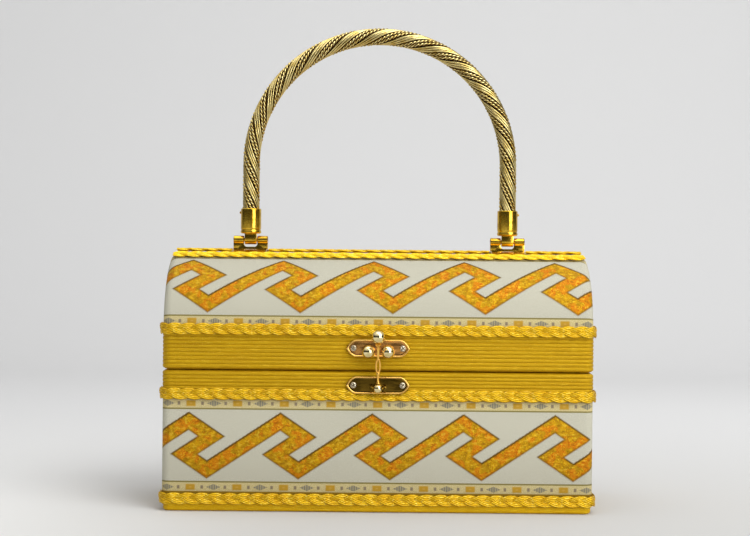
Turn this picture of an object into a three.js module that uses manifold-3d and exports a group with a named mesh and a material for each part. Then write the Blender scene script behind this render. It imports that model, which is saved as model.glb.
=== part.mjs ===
import * as THREE from 'three';
import { mergeVertices } from 'three/addons/utils/BufferGeometryUtils.js';
import Module from 'manifold-3d';

const wasm = await Module();
wasm.setup();

// A rigid box handbag in millimetres: +X to the right of the front, the front towards -Y, +Z up.
// The origin is the middle of the base, on the surface that the bag stands on.

// The wooden box and its cloth
const bagWidth = 226.6;
const bagDepth = 82;
const bodyHeight = 74.4;
const lidGap = 0.5;
const lidWall = 21.3;
const cornerRadius = 4;
const footRadius = 3.4;
const innerCorner = 1.2;
const woodThick = 4;
const clothThick = 0.6;
const baseClothTop = 5.5;
const liningThick = 0.7;
const seat = 0.3;

// Ribs of the cloth on the two rims
const ribPitch = 2.05;
const ribBase = 0.5;
const ribCrest = 0.9;
const rimEase = 0.35;
const bareRim = 14.1;

// The brocade ribbon and its running wave
const ribbonWidth = 50.8;
const ribbonThick = 0.4;
const ribbonSeat = 0.25;
const bodyRibbonBottom = 9.5;
const lidRibbonStart = 22.1;
const waveRepeat = 48.6;
const waveHeight = 35.3;
const waveBand = 8.1;
const waveRise = 33.5;
const waveFall = 34;
const waveRelief = 0.22;
const waveOffset = -2.9;
const waveMitre = 0.25;

// The plaited braids
const braidWidth = 6.3;
const braidThick = 1.8;
const braidStep = 6.5;
const braidLap = 1.4;
const lowerBraidBottom = 3.7;
const lidBraidRise = 18.2;
const ridgeBraidStart = 66.6;
const ridgeBraidWidth = 6.5;
const ridgeBraidEnd = 1;

// The handle
const handleHalfSpan = 71.3;
const legRise = 42.3;
const ropeRadius = 4.7;
const strandInner = 3;
const coreRadius = 2.4;
const ropeLay = 52.5;
const strandPairs = 3;
const stationsPerLay = 7;
const strandHalfAngle = 27;
const ferruleRadius = 5.75;
const ferruleLength = 13.9;
const ferruleFoot = 3.4;
const ferruleFloor = 3.4;
const ropeClearance = 0.35;
const rivetHead = 0.8;
const rivetShank = 0.35;
const rivetBite = 0.7;
const rivetDrop = 2.2;

// The handle's mounts
const mountLength = 19;
const mountThick = 1.15;
const mountHalfAngle = 17;
const pivotRise = 4.8;
const knuckleRadius = 2.3;
const knuckleLength = 5.8;
const webThick = 2.8;
const gapFloor = 0.9;
const gapCorner = 1.6;
const tongueRadius = 2.5;
const pinRadius = 1;
const runningGap = 0.28;
const sideGap = 0.4;
const studRadius = 1.2;
const studSpread = 11.5;
const studDepth = 3;

// The clasp
const claspLength = 33.8;
const claspHeight = 9.2;
const claspThick = 1.6;
const claspRim = 1;
const claspRecess = 0.5;
const upperClaspRise = 11.9;
const lowerClaspDrop = 7;
const claspScrewX = 12.9;
const ballRadius = 3.5;
const ballSpread = 5.1;
const ballRise = 10.2;
const ballNeck = 1.1;
const ballStand = 0.4;
const leverPivotDrop = 8.5;
const leverPivotProud = 2.5;
const leverReach = 27.9;
const leverLean = 12.5;
const topBallRadius = 3.5;
const footBallRadius = 2.5;
const leverWire = 0.6;
const leverPinRadius = 0.6;
const earWidth = 1.4;
const earRadius = 1.9;
const eyeBottom = 8.2;
const eyeTop = 16.2;
const eyeHalf = 0.95;
const collarRadius = 1.7;
const collarHeight = 1.6;
const neckRadius = 1.1;

// The two hinges at the back
const hingeInset = 47.3;
const hingeLength = 30;
const leafThick = 0.8;
const leafHeight = 6.6;
const leafStart = 2.2;
const hingeKnuckle = 1.5;
const hingeProud = 2;
const hingePin = 0.7;
const hingeScrewSpread = 9;

// Screws
const screwHead = 1.7;
const screwShank = 0.7;
const screwBite = 3;

const rad = THREE.MathUtils.degToRad;
const halfWidth = bagWidth / 2;
const halfDepth = bagDepth / 2;
const lidBottom = bodyHeight + lidGap;
const domeZ = lidBottom + lidWall;
const bodyRibbonTop = bodyHeight - bareRim;
const upperBraidBottom = bodyRibbonTop - braidLap;
const lidBraidBottom = lidBottom + lidBraidRise;
const upperClaspZ = lidBottom + upperClaspRise;
const lowerClaspZ = bodyHeight - lowerClaspDrop;
const ballZ = lidBottom + ballRise;
const leverPivotZ = bodyHeight - leverPivotDrop;
const hingeX = halfWidth - hingeInset;
const woodOuter = -clothThick - seat;
const woodInner = woodOuter - woodThick;
const liningOuter = woodInner - seat;
const liningInner = liningOuter - liningThick;
const ribbonOuter = ribbonSeat + ribbonThick;
const braidBase = ribbonOuter + ribbonSeat;
const plateBase = ribCrest + seat;
const plateFace = plateBase + claspThick;

const group = new THREE.Group();

function finish(color, roughness, metalness) {
  return { color, roughness, metalness };
}

const goldCloth = finish(0xbb9214, 0.55, 0.35);
const goldBraid = finish(0xcfaa28, 0.4, 0.6);
const brocade = finish(0xd4cdbe, 0.7, 0);
const goldMetal = finish(0xd8ac4a, 0.22, 1);
const goldWire = finish(0xc9a860, 0.3, 1);
const beechWood = finish(0xb98f5c, 0.7, 0);
const liningCloth = finish(0xcdb67c, 0.6, 0);

function piece(name, geometry, look) {
  const mesh = new THREE.Mesh(geometry, new THREE.MeshStandardMaterial(look));
  mesh.name = name;
  group.add(mesh);
  return mesh;
}

// Closed meshes and solids

function closedMesh(corners) {
  const raw = new THREE.BufferGeometry();
  raw.setAttribute('position', new THREE.Float32BufferAttribute(corners.flat(), 3));
  const merged = mergeVertices(raw, 2e-3);
  const index = merged.getIndex().array;
  const kept = [];
  for (let i = 0; i < index.length; i += 3) {
    const [a, b, c] = [index[i], index[i + 1], index[i + 2]];
    if (a !== b && b !== c && c !== a) kept.push(a, b, c);
  }
  merged.setIndex(outward(merged, kept));
  return merged;
}

function outward(geometry, index) {
  const at = (i) => new THREE.Vector3().fromBufferAttribute(geometry.getAttribute('position'), i);
  let volume = 0;
  for (let i = 0; i < index.length; i += 3) {
    volume += at(index[i]).dot(at(index[i + 1]).cross(at(index[i + 2])));
  }
  if (volume > 0) return index;
  const turned = [];
  for (let i = 0; i < index.length; i += 3) turned.push(index[i], index[i + 2], index[i + 1]);
  return turned;
}

function solid(geometry) {
  const bare = geometry.clone();
  bare.deleteAttribute('normal');
  bare.deleteAttribute('uv');
  const merged = mergeVertices(bare, 1e-4);
  const vertProperties = new Float32Array(merged.getAttribute('position').array);
  const triVerts = new Uint32Array(merged.getIndex().array);
  return new wasm.Manifold(new wasm.Mesh({ numProp: 3, vertProperties, triVerts }));
}

function geometryOf(body) {
  const mesh = body.getMesh();
  const at = (i) => Array.from(mesh.vertProperties.subarray(3 * i, 3 * i + 3));
  return closedMesh(Array.from(mesh.triVerts, at));
}

function join(...geometries) {
  return geometryOf(geometries.map(solid).reduce((sum, next) => sum.add(next)));
}

function cut(geometry, ...tools) {
  return geometryOf(tools.map(solid).reduce((rest, tool) => rest.subtract(tool), solid(geometry)));
}

// Walls between neighbouring rings of points, with the same number of points in each
function wallsBetween(rings, closed) {
  const corners = [];
  const last = closed ? rings.length : rings.length - 1;
  for (let k = 0; k < last; k += 1) {
    const low = rings[k];
    const high = rings[(k + 1) % rings.length];
    for (let i = 0; i < low.length; i += 1) {
      const j = (i + 1) % low.length;
      corners.push(low[i], low[j], high[j], low[i], high[j], high[i]);
    }
  }
  return corners;
}

function capOf(ring) {
  const corners = [];
  for (let i = 1; i < ring.length - 1; i += 1) corners.push(ring[0], ring[i], ring[i + 1]);
  return corners;
}

function cappedRings(rings) {
  const start = capOf(rings[0]).reverse();
  const end = capOf(rings[rings.length - 1]);
  return closedMesh([...start, ...wallsBetween(rings, false), ...end]);
}

function openRings(rings) {
  return closedMesh(wallsBetween(rings, false));
}

function loopRings(rings) {
  return closedMesh(wallsBetween(rings, true));
}

function cylinderX(radius, length, sides, x, y, z) {
  const geometry = new THREE.CylinderGeometry(radius, radius, length, sides);
  geometry.rotateZ(Math.PI / 2);
  return geometry.translate(x, y, z);
}

function cylinderY(radius, length, sides, x, y, z) {
  return new THREE.CylinderGeometry(radius, radius, length, sides).translate(x, y, z);
}

function box(sizeX, sizeY, sizeZ, x, y, z) {
  return new THREE.BoxGeometry(sizeX, sizeY, sizeZ).translate(x, y, z);
}

function turned(profile, sides) {
  return new THREE.LatheGeometry(profile.map(([r, h]) => new THREE.Vector2(r, h)), sides);
}

// An outline in Y and Z, given its length along X
function extrudedX(outline, length, x) {
  const shape = new THREE.Shape(outline.map(([y, z]) => new THREE.Vector2(y, z)));
  const geometry = new THREE.ExtrudeGeometry(shape, { depth: length, bevelEnabled: false });
  geometry.rotateY(Math.PI / 2);
  geometry.rotateX(Math.PI / 2);
  return geometry.translate(x - length / 2, 0, 0);
}

// The box: rings that follow its rounded plan at any distance outside the cloth

function planRing(distance, inset = 0) {
  const radius = (distance > woodInner + 1 ? cornerRadius : innerCorner - woodInner) + distance - inset;
  const spanX = halfWidth + distance - inset - radius;
  const spanY = halfDepth + distance - inset - radius;
  const ring = [];
  for (const [sideX, sideY, from] of [[1, -1, -90], [1, 1, 0], [-1, 1, 90], [-1, -1, 180]]) {
    for (const turn of [0, 45, 90]) {
      const angle = rad(from + turn);
      ring.push([sideX * spanX + radius * Math.cos(angle), sideY * spanY + radius * Math.sin(angle)]);
    }
  }
  return ring;
}

function levelRing(distance, z, inset = 0) {
  return planRing(distance, inset).map(([x, y]) => [x, y, z]);
}

// The same ring carried over the barrel top: 0 degrees at the walls and 90 at the ridge
function domeRing(distance, degrees) {
  const [c, s] = degrees === 90 ? [0, 1] : [Math.cos(rad(degrees)), Math.sin(rad(degrees))];
  return planRing(distance).map(([x, y]) => [x, y * c, domeZ + Math.abs(y) * s]);
}

const domeSteps = 6;

function domeRings(distance) {
  return Array.from({ length: domeSteps + 1 }, (_, k) => domeRing(distance, (90 * k) / domeSteps));
}

function footRings(distance) {
  const radius = footRadius + distance;
  return [0, 45, 90].map((turn) => {
    const inset = radius * (1 - Math.sin(rad(turn)));
    return levelRing(distance, -distance + radius * (1 - Math.cos(rad(turn))), Math.min(inset, radius));
  });
}

// Ribs between two heights, from the lower to the upper
function ribRings(bottom, top) {
  const count = Math.round((top - bottom) / ribPitch);
  const pitch = (top - bottom) / count;
  const rings = [];
  for (let k = 0; k < count; k += 1) {
    rings.push(levelRing(ribBase, bottom + (k + 0.06) * pitch));
    rings.push(levelRing(ribCrest, bottom + (k + 0.5) * pitch));
  }
  rings.push(levelRing(ribBase, top));
  return rings;
}

// The base's cloth is turned up over the foot and ends behind the lower braid
function baseCloth() {
  return cappedRings([
    ...footRings(0),
    levelRing(0, baseClothTop),
    levelRing(-clothThick, baseClothTop),
    ...footRings(-clothThick).reverse(),
  ]);
}

// The body's cloth covers the walls, turns over the rim and meets the lining
function bodyCloth() {
  const bottom = baseClothTop + seat;
  const bandBottom = upperBraidBottom + braidWidth / 2;
  const bandTop = bodyHeight - rimEase;
  return loopRings([
    levelRing(-clothThick, bottom),
    levelRing(0, bottom),
    levelRing(0, bandBottom),
    ...ribRings(bandBottom, bandTop),
    levelRing(ribBase - rimEase, bodyHeight),
    levelRing(liningInner, bodyHeight),
    levelRing(liningInner, bodyHeight - clothThick),
    levelRing(-clothThick, bodyHeight - clothThick),
  ]);
}

function bodyShell() {
  const top = bodyHeight - clothThick - seat;
  return cappedRings([
    ...footRings(woodOuter),
    levelRing(woodOuter, top),
    levelRing(woodInner, top),
    levelRing(woodInner, -woodInner),
  ]);
}

function bodyLining() {
  const top = bodyHeight - clothThick - seat;
  return cappedRings([
    levelRing(liningOuter, -liningOuter),
    levelRing(liningOuter, top),
    levelRing(liningInner, top),
    levelRing(liningInner, -liningInner),
  ]);
}

// The lid's cloth, from the ridge down to the rim and up again inside
function lidCloth() {
  const bandTop = lidBraidBottom + braidWidth / 2;
  const bandBottom = lidBottom + rimEase;
  return openRings([
    ...domeRings(0).reverse(),
    levelRing(0, bandTop),
    ...ribRings(bandBottom, bandTop).reverse(),
    levelRing(ribBase - rimEase, lidBottom),
    levelRing(liningInner, lidBottom),
    levelRing(liningInner, lidBottom + clothThick),
    levelRing(-clothThick, lidBottom + clothThick),
    ...domeRings(-clothThick),
  ]);
}

function lidLayer(outer, inner) {
  const bottom = lidBottom + clothThick + seat;
  return openRings([
    ...domeRings(outer).reverse(),
    levelRing(outer, bottom),
    levelRing(inner, bottom),
    ...domeRings(inner),
  ]);
}

// The running wave: one band that climbs, drops to a sharp tip, doubles back and drops again.
// Its outline is worked out for one repeat, with the upper corner at 0, 0.
function waveCorners() {
  const rise = rad(waveRise);
  const fall = rad(waveFall);
  const slot = (waveRepeat * Math.sin(rise) - 2 * waveBand) / 2;
  const crossing = (fromClimb, fromDrop) => {
    const across = fromClimb / Math.cos(rise);
    const below = fromDrop / Math.cos(fall);
    const x = (across - below) / (Math.tan(rise) + Math.tan(fall));
    return [x, -x * Math.tan(fall) - below];
  };
  const rightTip = crossing(2 * waveBand + slot, 0);
  const slotTop = crossing(waveBand, waveBand);
  const slotEnd = crossing(waveBand + slot, waveBand);
  const middle = [
    (1.5 * waveBand + slot - (waveHeight / 2) * Math.cos(rise)) / Math.sin(rise),
    -waveHeight / 2,
  ];
  const opposite = ([x, y]) => [2 * middle[0] - x, 2 * middle[1] - y];
  return {
    upper: [[0, 0], rightTip, opposite(slotEnd), opposite(slotTop)],
    lower: [slotTop, slotEnd, opposite(rightTip), opposite([0, 0])],
  };
}

// The whole band as one closed outline, its corners at or beyond both ends of the stretch
function waveOutline(from, to, firstApex) {
  const { upper, lower } = waveCorners();
  const first = Math.floor((from - firstApex) / waveRepeat) - 1;
  const last = Math.ceil((to - firstApex) / waveRepeat) + 1;
  const top = [];
  const bottom = [];
  for (let k = first; k <= last; k += 1) {
    const shift = firstApex + k * waveRepeat;
    for (const [x, y] of upper) top.push([x + shift, y]);
    for (const [x, y] of lower) bottom.push([x + shift, y]);
  }
  return [...top, ...bottom.reverse()];
}

const waveMiddle = waveHeight / 2;

// The body's ribbon: a band round all four sides, its wave raised side by side and mitred at the corners
function bodyRibbon() {
  const top = bodyRibbonTop;
  const band = loopRings([
    levelRing(ribbonSeat, bodyRibbonBottom),
    levelRing(ribbonOuter, bodyRibbonBottom),
    levelRing(ribbonOuter, top),
    levelRing(ribbonSeat, top),
  ]);
  const middle = (bodyRibbonBottom + top) / 2;
  const raised = solid(loopRings([
    levelRing(ribbonOuter - ribbonThick / 2, bodyRibbonBottom + 1),
    levelRing(ribbonOuter + waveRelief, bodyRibbonBottom + 1),
    levelRing(ribbonOuter + waveRelief, top - 1),
    levelRing(ribbonOuter - ribbonThick / 2, top - 1),
  ]));
  const spanX = halfWidth - cornerRadius;
  const spanY = halfDepth - cornerRadius;
  const arc = (Math.PI / 2) * cornerRadius;
  const reach = 3 * cornerRadius;
  const starts = [0, spanX + arc + spanY, 2 * (spanX + arc + spanY), -(spanX + arc + spanY)];
  let relief = null;
  starts.forEach((start, side) => {
    const along = side % 2 === 0 ? spanX : spanY;
    const away = side % 2 === 0 ? spanY : spanX;
    const outline = waveOutline(-along - reach, along + reach, waveOffset - start);
    const flat = new THREE.Shape(outline.map(([x, y]) => new THREE.Vector2(x, y)));
    const wave = new THREE.ExtrudeGeometry(flat, { depth: away + reach, bevelEnabled: false });
    wave.rotateX(Math.PI / 2);
    wave.translate(0, 0, middle + waveMiddle);
    const plan = new THREE.Shape([
      new THREE.Vector2(waveMitre - along, -away),
      new THREE.Vector2(along - waveMitre, -away),
      new THREE.Vector2(along + reach - waveMitre, -away - reach),
      new THREE.Vector2(waveMitre - along - reach, -away - reach),
    ]);
    const wedge = new THREE.ExtrudeGeometry(plan, { depth: top, bevelEnabled: false });
    for (const part of [wave, wedge]) part.rotateZ((side * Math.PI) / 2);
    const stretch = raised.intersect(solid(wave)).intersect(solid(wedge));
    relief = relief ? relief.add(stretch) : stretch;
  });
  return geometryOf(solid(band).add(relief));
}

// A sheet laid over the front of the lid, from one distance along its outline to another
function lidSheet(inner, outer, start, end, turn) {
  const wall = Math.max(lidWall - start, 0);
  const degrees = [...Array(domeSteps + 1).keys()].map((k) => (90 * k) / domeSteps);
  const stop = THREE.MathUtils.radToDeg((end - lidWall) / halfDepth);
  const begin = THREE.MathUtils.radToDeg(Math.max(start - lidWall, 0) / halfDepth);
  const steps = [begin, ...degrees.filter((d) => d > begin && d < stop), stop];
  const line = (distance, angle, drop) => {
    const radius = cornerRadius + distance;
    const points = [];
    for (const side of [-1, 1]) {
      const turns = side < 0 ? [turn, 45, 0] : [0, 45, turn];
      for (const t of turns) {
        const x = side * (halfWidth - cornerRadius + radius * Math.sin(rad(t)));
        const out = halfDepth - cornerRadius + radius * Math.cos(rad(t));
        points.push([x, -out * Math.cos(rad(angle)), domeZ + out * Math.sin(rad(angle)) - drop]);
      }
    }
    return points;
  };
  const rows = [];
  if (wall > 0) rows.push([0, wall]);
  for (const angle of steps) rows.push([angle, 0]);
  const under = rows.map(([angle, drop]) => line(inner, angle, drop));
  const over = rows.map(([angle, drop]) => line(outer, angle, drop));
  const rings = rows.map((_, k) => [...under[k], ...over[k].reverse()]);
  return stackedSections(rings);
}

// Sections that are not flat or convex: closed with strips between the two faces of the sheet
function stackedSections(rings) {
  const half = rings[0].length / 2;
  const endStrip = (ring) => {
    const corners = [];
    for (let i = 0; i < half - 1; i += 1) {
      const [a, b] = [ring[i], ring[i + 1]];
      const [c, d] = [ring[ring.length - 2 - i], ring[ring.length - 1 - i]];
      corners.push(a, b, c, a, c, d);
    }
    return corners;
  };
  const start = endStrip(rings[0]).reverse();
  const end = endStrip(rings[rings.length - 1]);
  return closedMesh([...start, ...wallsBetween(rings, false), ...end]);
}

const ribbonTurn = 90;

function lidRibbon() {
  const end = lidRibbonStart + ribbonWidth;
  const sheet = lidSheet(ribbonSeat, ribbonOuter, lidRibbonStart, end, ribbonTurn);
  const inset = 2;
  const raised = lidSheet(
    ribbonOuter - ribbonThick / 2,
    ribbonOuter + waveRelief,
    lidRibbonStart + inset,
    end - inset,
    ribbonTurn,
  );
  const middle = (lidRibbonStart + ribbonWidth / 2 - lidWall) / halfDepth;
  const reach = halfDepth + ribbonOuter;
  const outline = refined(waveOutline(-halfWidth, halfWidth, waveOffset), waveRepeat / 2);
  const seen = outline.map(([x, y]) => new THREE.Vector2(x, reach * Math.sin((y + waveMiddle) / reach)));
  const wave = new THREE.ExtrudeGeometry(new THREE.Shape(seen), { depth: reach, bevelEnabled: false });
  wave.applyMatrix4(new THREE.Matrix4().makeBasis(
    new THREE.Vector3(1, 0, 0),
    new THREE.Vector3(0, Math.sin(middle), Math.cos(middle)),
    new THREE.Vector3(0, -Math.cos(middle), Math.sin(middle)),
  ));
  const lift = reach * 0.7;
  wave.translate(0, -lift * Math.cos(middle), domeZ + lift * Math.sin(middle));
  return geometryOf(solid(sheet).add(solid(raised).intersect(solid(wave))));
}

// The same outline with no edge longer than the step
function refined(outline, step) {
  const points = [];
  outline.forEach(([x, y], i) => {
    const [nextX, nextY] = outline[(i + 1) % outline.length];
    const parts = Math.max(1, Math.round(Math.hypot(nextX - x, nextY - y) / step));
    for (let k = 0; k < parts; k += 1) {
      points.push([x + ((nextX - x) * k) / parts, y + ((nextY - y) * k) / parts]);
    }
  });
  return points;
}

// A flat plait in section, its strands high on one side and then on the other
function plaitSection(width, k) {
  const side = k % 2 === 0 ? 1 : -1;
  const half = width / 2;
  return [
    [-half + (side > 0 ? 0 : 0.5), 0],
    [-half * (side > 0 ? 0.6 : 0.3), braidThick * (side > 0 ? 1 : 0.6)],
    [half * (side > 0 ? 0.3 : 0.6), braidThick * (side > 0 ? 0.6 : 1)],
    [half - (side > 0 ? 0.5 : 0), 0],
  ];
}

// A plait round the box, with an even number of stations so that its ends meet in step
function bandPlait(bottom) {
  const corners = planRing(braidBase);
  const stations = [];
  corners.forEach(([x, y], i) => {
    const [nextX, nextY] = corners[(i + 1) % corners.length];
    const parts = Math.max(1, 2 * Math.round(Math.hypot(nextX - x, nextY - y) / braidStep / 2));
    const count = i % 3 === 2 ? parts : 1;
    for (let k = 0; k < count; k += 1) {
      const share = k / count;
      const angle = i % 3 === 2 ? 90 * Math.floor(i / 3) : 90 * Math.floor(i / 3) + 45 * (i % 3) - 90;
      stations.push([x + (nextX - x) * share, y + (nextY - y) * share, angle]);
    }
  });
  return loopRings(stations.map(([x, y, angle], k) => {
    const out = [Math.cos(rad(angle)), Math.sin(rad(angle))];
    return plaitSection(braidWidth, k).map(([across, height]) => [
      x + out[0] * height,
      y + out[1] * height,
      bottom + braidWidth / 2 + across,
    ]);
  }));
}

// A straight plait along the barrel top, its middle at an angle from the wall: 90 degrees at the ridge
function straightPlait(base, middle, from, to) {
  const count = 2 * Math.round((to - from) / 2 / braidStep);
  const sections = Array.from({ length: count + 1 }, (_, k) => {
    const x = from + ((to - from) * k) / count;
    return plaitSection(ridgeBraidWidth, k).map(([across, height]) => {
      const out = halfDepth + base + height;
      const y = -out * Math.cos(middle) + across * Math.sin(middle);
      return [x, y, domeZ + out * Math.sin(middle) + across * Math.cos(middle)];
    });
  });
  return cappedRings(sections);
}

const braidEnd = halfWidth - ridgeBraidEnd;

function ridgePlait() {
  const middle = (ridgeBraidStart + ridgeBraidWidth / 2 - lidWall) / halfDepth;
  return straightPlait(braidBase, middle, -braidEnd, braidEnd);
}

// The plait on the ridge lies on the cloth and is cut beside each mount
function topPlait(from, to) {
  return straightPlait(seat, Math.PI / 2, from, to);
}

// A band of the barrel top, as a block between two radii
function saddle(innerRadius, outerRadius, halfAngle, length, x) {
  const steps = 4;
  const turns = Array.from({ length: steps + 1 }, (_, k) => rad(-halfAngle + (2 * halfAngle * k) / steps));
  const arc = (radius) => turns.map((turn) => [radius * Math.sin(turn), domeZ + radius * Math.cos(turn)]);
  return extrudedX([...arc(innerRadius), ...arc(outerRadius).reverse()], length, x);
}

// Handle mounts: a saddle plate with two knuckles, and two studs that go down into the wood

const plateInner = halfDepth + ribbonOuter + seat;
const plateOuter = plateInner + mountThick;
const pivotZ = domeZ + plateOuter + pivotRise;
const legTop = pivotZ + legRise;
const boreRadius = pinRadius + runningGap;
const rivetZ = pivotZ + ferruleFoot + ferruleLength - rivetDrop;
const studAngles = [-studSpread, studSpread];

function studs(radius, from, to, x) {
  return studAngles.map((angle) => {
    const stud = new THREE.CylinderGeometry(radius, radius, to - from, 6);
    stud.rotateX(Math.PI / 2);
    stud.translate(0, 0, (from + to) / 2);
    stud.rotateX(rad(angle));
    return stud.translate(x, 0, domeZ);
  });
}

function mountPlate(x) {
  const knuckleX = (mountLength - knuckleLength) / 2;
  const gapHalf = mountLength / 2 - knuckleLength;
  const floor = domeZ + plateOuter + gapFloor;
  const foot = domeZ + plateOuter * Math.cos(rad(2)) - mountThick / 2;
  const outline = new THREE.Shape();
  outline.moveTo(-mountLength / 2, foot);
  outline.lineTo(mountLength / 2, foot);
  outline.lineTo(mountLength / 2, pivotZ);
  outline.lineTo(gapHalf, pivotZ);
  outline.lineTo(gapHalf, floor + gapCorner);
  outline.quadraticCurveTo(gapHalf, floor, gapHalf - gapCorner, floor);
  outline.lineTo(gapCorner - gapHalf, floor);
  outline.quadraticCurveTo(-gapHalf, floor, -gapHalf, floor + gapCorner);
  outline.lineTo(-gapHalf, pivotZ);
  outline.lineTo(-mountLength / 2, pivotZ);
  const web = new THREE.ExtrudeGeometry(outline, { depth: webThick, bevelEnabled: false, curveSegments: 3 });
  web.rotateX(Math.PI / 2);
  web.translate(x, webThick / 2, 0);
  const body = join(
    saddle(plateInner, plateOuter, mountHalfAngle, mountLength, x),
    web,
    cylinderX(knuckleRadius, knuckleLength, 10, x - knuckleX, 0, pivotZ),
    cylinderX(knuckleRadius, knuckleLength, 10, x + knuckleX, 0, pivotZ),
    ...studs(studRadius, halfDepth - studDepth, plateInner + mountThick / 2, x),
  );
  return cut(body, cylinderX(boreRadius, mountLength + 2, 8, x, 0, pivotZ));
}

// The ferrule: a turned cup for the end of the rope, with a tongue that hangs on the mount's pin
function ferrule(x) {
  const foot = pivotZ + ferruleFoot;
  const top = foot + ferruleLength;
  const bore = ropeRadius + ropeClearance;
  const cup = turned([
    [0, foot],
    [ferruleRadius - 0.9, foot],
    [ferruleRadius, foot + 0.7],
    [ferruleRadius, foot + 1.8],
    [ferruleRadius - 0.3, foot + 2.1],
    [ferruleRadius - 0.1, top],
    [bore, top],
    [bore, foot + ferruleFloor],
    [0, foot + ferruleFloor],
  ], 12);
  cup.rotateX(Math.PI / 2);
  cup.translate(x, 0, 0);
  const width = mountLength - 2 * knuckleLength - 2 * sideGap;
  const tongue = [];
  for (let k = 0; k <= 8; k += 1) {
    const angle = rad(180 + (180 * k) / 8);
    tongue.push([tongueRadius * Math.cos(angle), pivotZ + tongueRadius * Math.sin(angle)]);
  }
  tongue.push([tongueRadius, foot + 1], [-tongueRadius, foot + 1]);
  const body = join(cup, extrudedX(tongue, width, x));
  const rivetHole = cylinderX(rivetShank + runningGap, ferruleRadius, 6, x + Math.sign(x) * ferruleRadius, 0, rivetZ);
  return cut(body, cylinderX(boreRadius, mountLength, 8, x, 0, pivotZ), rivetHole);
}

// Rivets that pin the rope in its ferrules, each with its head on the outer side
function ferruleRivet(x) {
  const rivet = turned([
    [0, -rivetBite],
    [rivetShank, -rivetBite],
    [rivetShank, seat],
    [rivetHead, seat],
    [0, seat + rivetHead * 0.7],
  ], 6);
  rivet.rotateZ(-Math.sign(x) * Math.PI / 2);
  return rivet.translate(x + Math.sign(x) * ferruleRadius, 0, rivetZ);
}

// The rope of the handle: an arch with two straight legs, followed by its length

const ropeFoot = pivotZ + ferruleFoot + ferruleFloor + seat;
const legLength = legTop - ropeFoot;
const archLength = Math.PI * handleHalfSpan;
const ropeLength = 2 * legLength + archLength;

function ropeFrame(length) {
  if (length < legLength) return { at: [-handleHalfSpan, ropeFoot + length], out: [-1, 0] };
  if (length > legLength + archLength) {
    return { at: [handleHalfSpan, legTop - (length - legLength - archLength)], out: [1, 0] };
  }
  const angle = Math.PI - (length - legLength) / handleHalfSpan;
  const out = [Math.cos(angle), Math.sin(angle)];
  return { at: [handleHalfSpan * out[0], legTop + handleHalfSpan * out[1]], out };
}

// A point of the rope's section, by its radius and its angle round the rope
function ropePoint(length, radius, angle) {
  const { at, out } = ropeFrame(length);
  const side = radius * Math.cos(angle);
  return [at[0] + out[0] * side, radius * Math.sin(angle), at[1] + out[1] * side];
}

// A strand's section as radius and angle in degrees: three round wires side by side, or two
const smoothSection = [
  [strandInner, -strandHalfAngle],
  [ropeRadius, -18],
  [ropeRadius - 0.4, -9],
  [ropeRadius, 0],
  [ropeRadius - 0.4, 9],
  [ropeRadius, 18],
  [strandInner, strandHalfAngle],
];
const twistedSection = [
  [strandInner, -strandHalfAngle],
  [ropeRadius - 0.1, -15],
  [ropeRadius - 0.7, 0],
  [ropeRadius - 0.1, 15],
  [strandInner, strandHalfAngle],
];

function strand(section, phase) {
  const count = Math.round((ropeLength / ropeLay) * stationsPerLay);
  const rings = Array.from({ length: count + 1 }, (_, k) => {
    const length = (ropeLength * k) / count;
    const turn = phase + (2 * Math.PI * length) / ropeLay;
    return section.map(([radius, angle]) => ropePoint(length, radius, turn + rad(angle)));
  });
  return cappedRings(rings);
}

function ropeCore() {
  const count = 24;
  const rings = Array.from({ length: count + 1 }, (_, k) => {
    const length = (ropeLength * k) / count;
    return Array.from({ length: 6 }, (_, i) => ropePoint(length, coreRadius, (i * Math.PI) / 3));
  });
  return cappedRings(rings);
}

// Screws for the clasp and hinges, pointing inwards along Y from a face at the front or back
function screwAt(x, faceY, z, grip) {
  const side = Math.sign(faceY);
  const headSeat = seat;
  const screw = turned([
    [0, -grip - screwBite - 0.4],
    [screwShank, -grip - screwBite],
    [screwShank, headSeat],
    [screwHead, headSeat],
    [0, headSeat + 0.65],
  ], 6);
  if (side < 0) screw.rotateX(Math.PI);
  return screw.translate(x, faceY, z);
}

function screwHoles(places) {
  return places.map(([x, faceY, z, grip]) => {
    const depth = grip + screwBite + 1;
    const side = Math.sign(faceY);
    return cylinderY(screwShank + seat, depth + 4, 6, x, faceY - side * (depth / 2 - 2), z);
  });
}

// The clasp: two plates with pointed ends, a raised rim and a sunk face

function claspOutline(inset) {
  const endX = claspLength / 2 - inset * 1.5;
  const flatX = claspLength / 2 - claspHeight * 0.62;
  const half = claspHeight / 2 - inset;
  const shape = new THREE.Shape();
  shape.moveTo(-flatX, -half);
  shape.lineTo(flatX, -half);
  shape.quadraticCurveTo(flatX + (endX - flatX) * 0.55, -half, endX, 0);
  shape.quadraticCurveTo(flatX + (endX - flatX) * 0.55, half, flatX, half);
  shape.lineTo(-flatX, half);
  shape.quadraticCurveTo(-flatX - (endX - flatX) * 0.55, half, -endX, 0);
  shape.quadraticCurveTo(-flatX - (endX - flatX) * 0.55, -half, -flatX, -half);
  return shape;
}

function claspBlock(inset, depth, back, z) {
  const block = new THREE.ExtrudeGeometry(claspOutline(inset), {
    depth,
    bevelEnabled: false,
    curveSegments: 4,
  });
  block.rotateX(Math.PI / 2);
  return block.translate(0, -halfDepth - back, z);
}

function claspPlate(z) {
  const plate = claspBlock(0, claspThick, plateBase, z);
  return cut(plate, claspBlock(claspRim, claspRecess + 1, plateFace - claspRecess, z));
}

const claspScrews = [upperClaspZ, lowerClaspZ].flatMap((z) => [-1, 1].map((side) => [
  side * claspScrewX,
  -halfDepth - plateFace + claspRecess,
  z,
  claspThick - claspRecess + plateBase,
]));

const ballSteps = 5;

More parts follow.
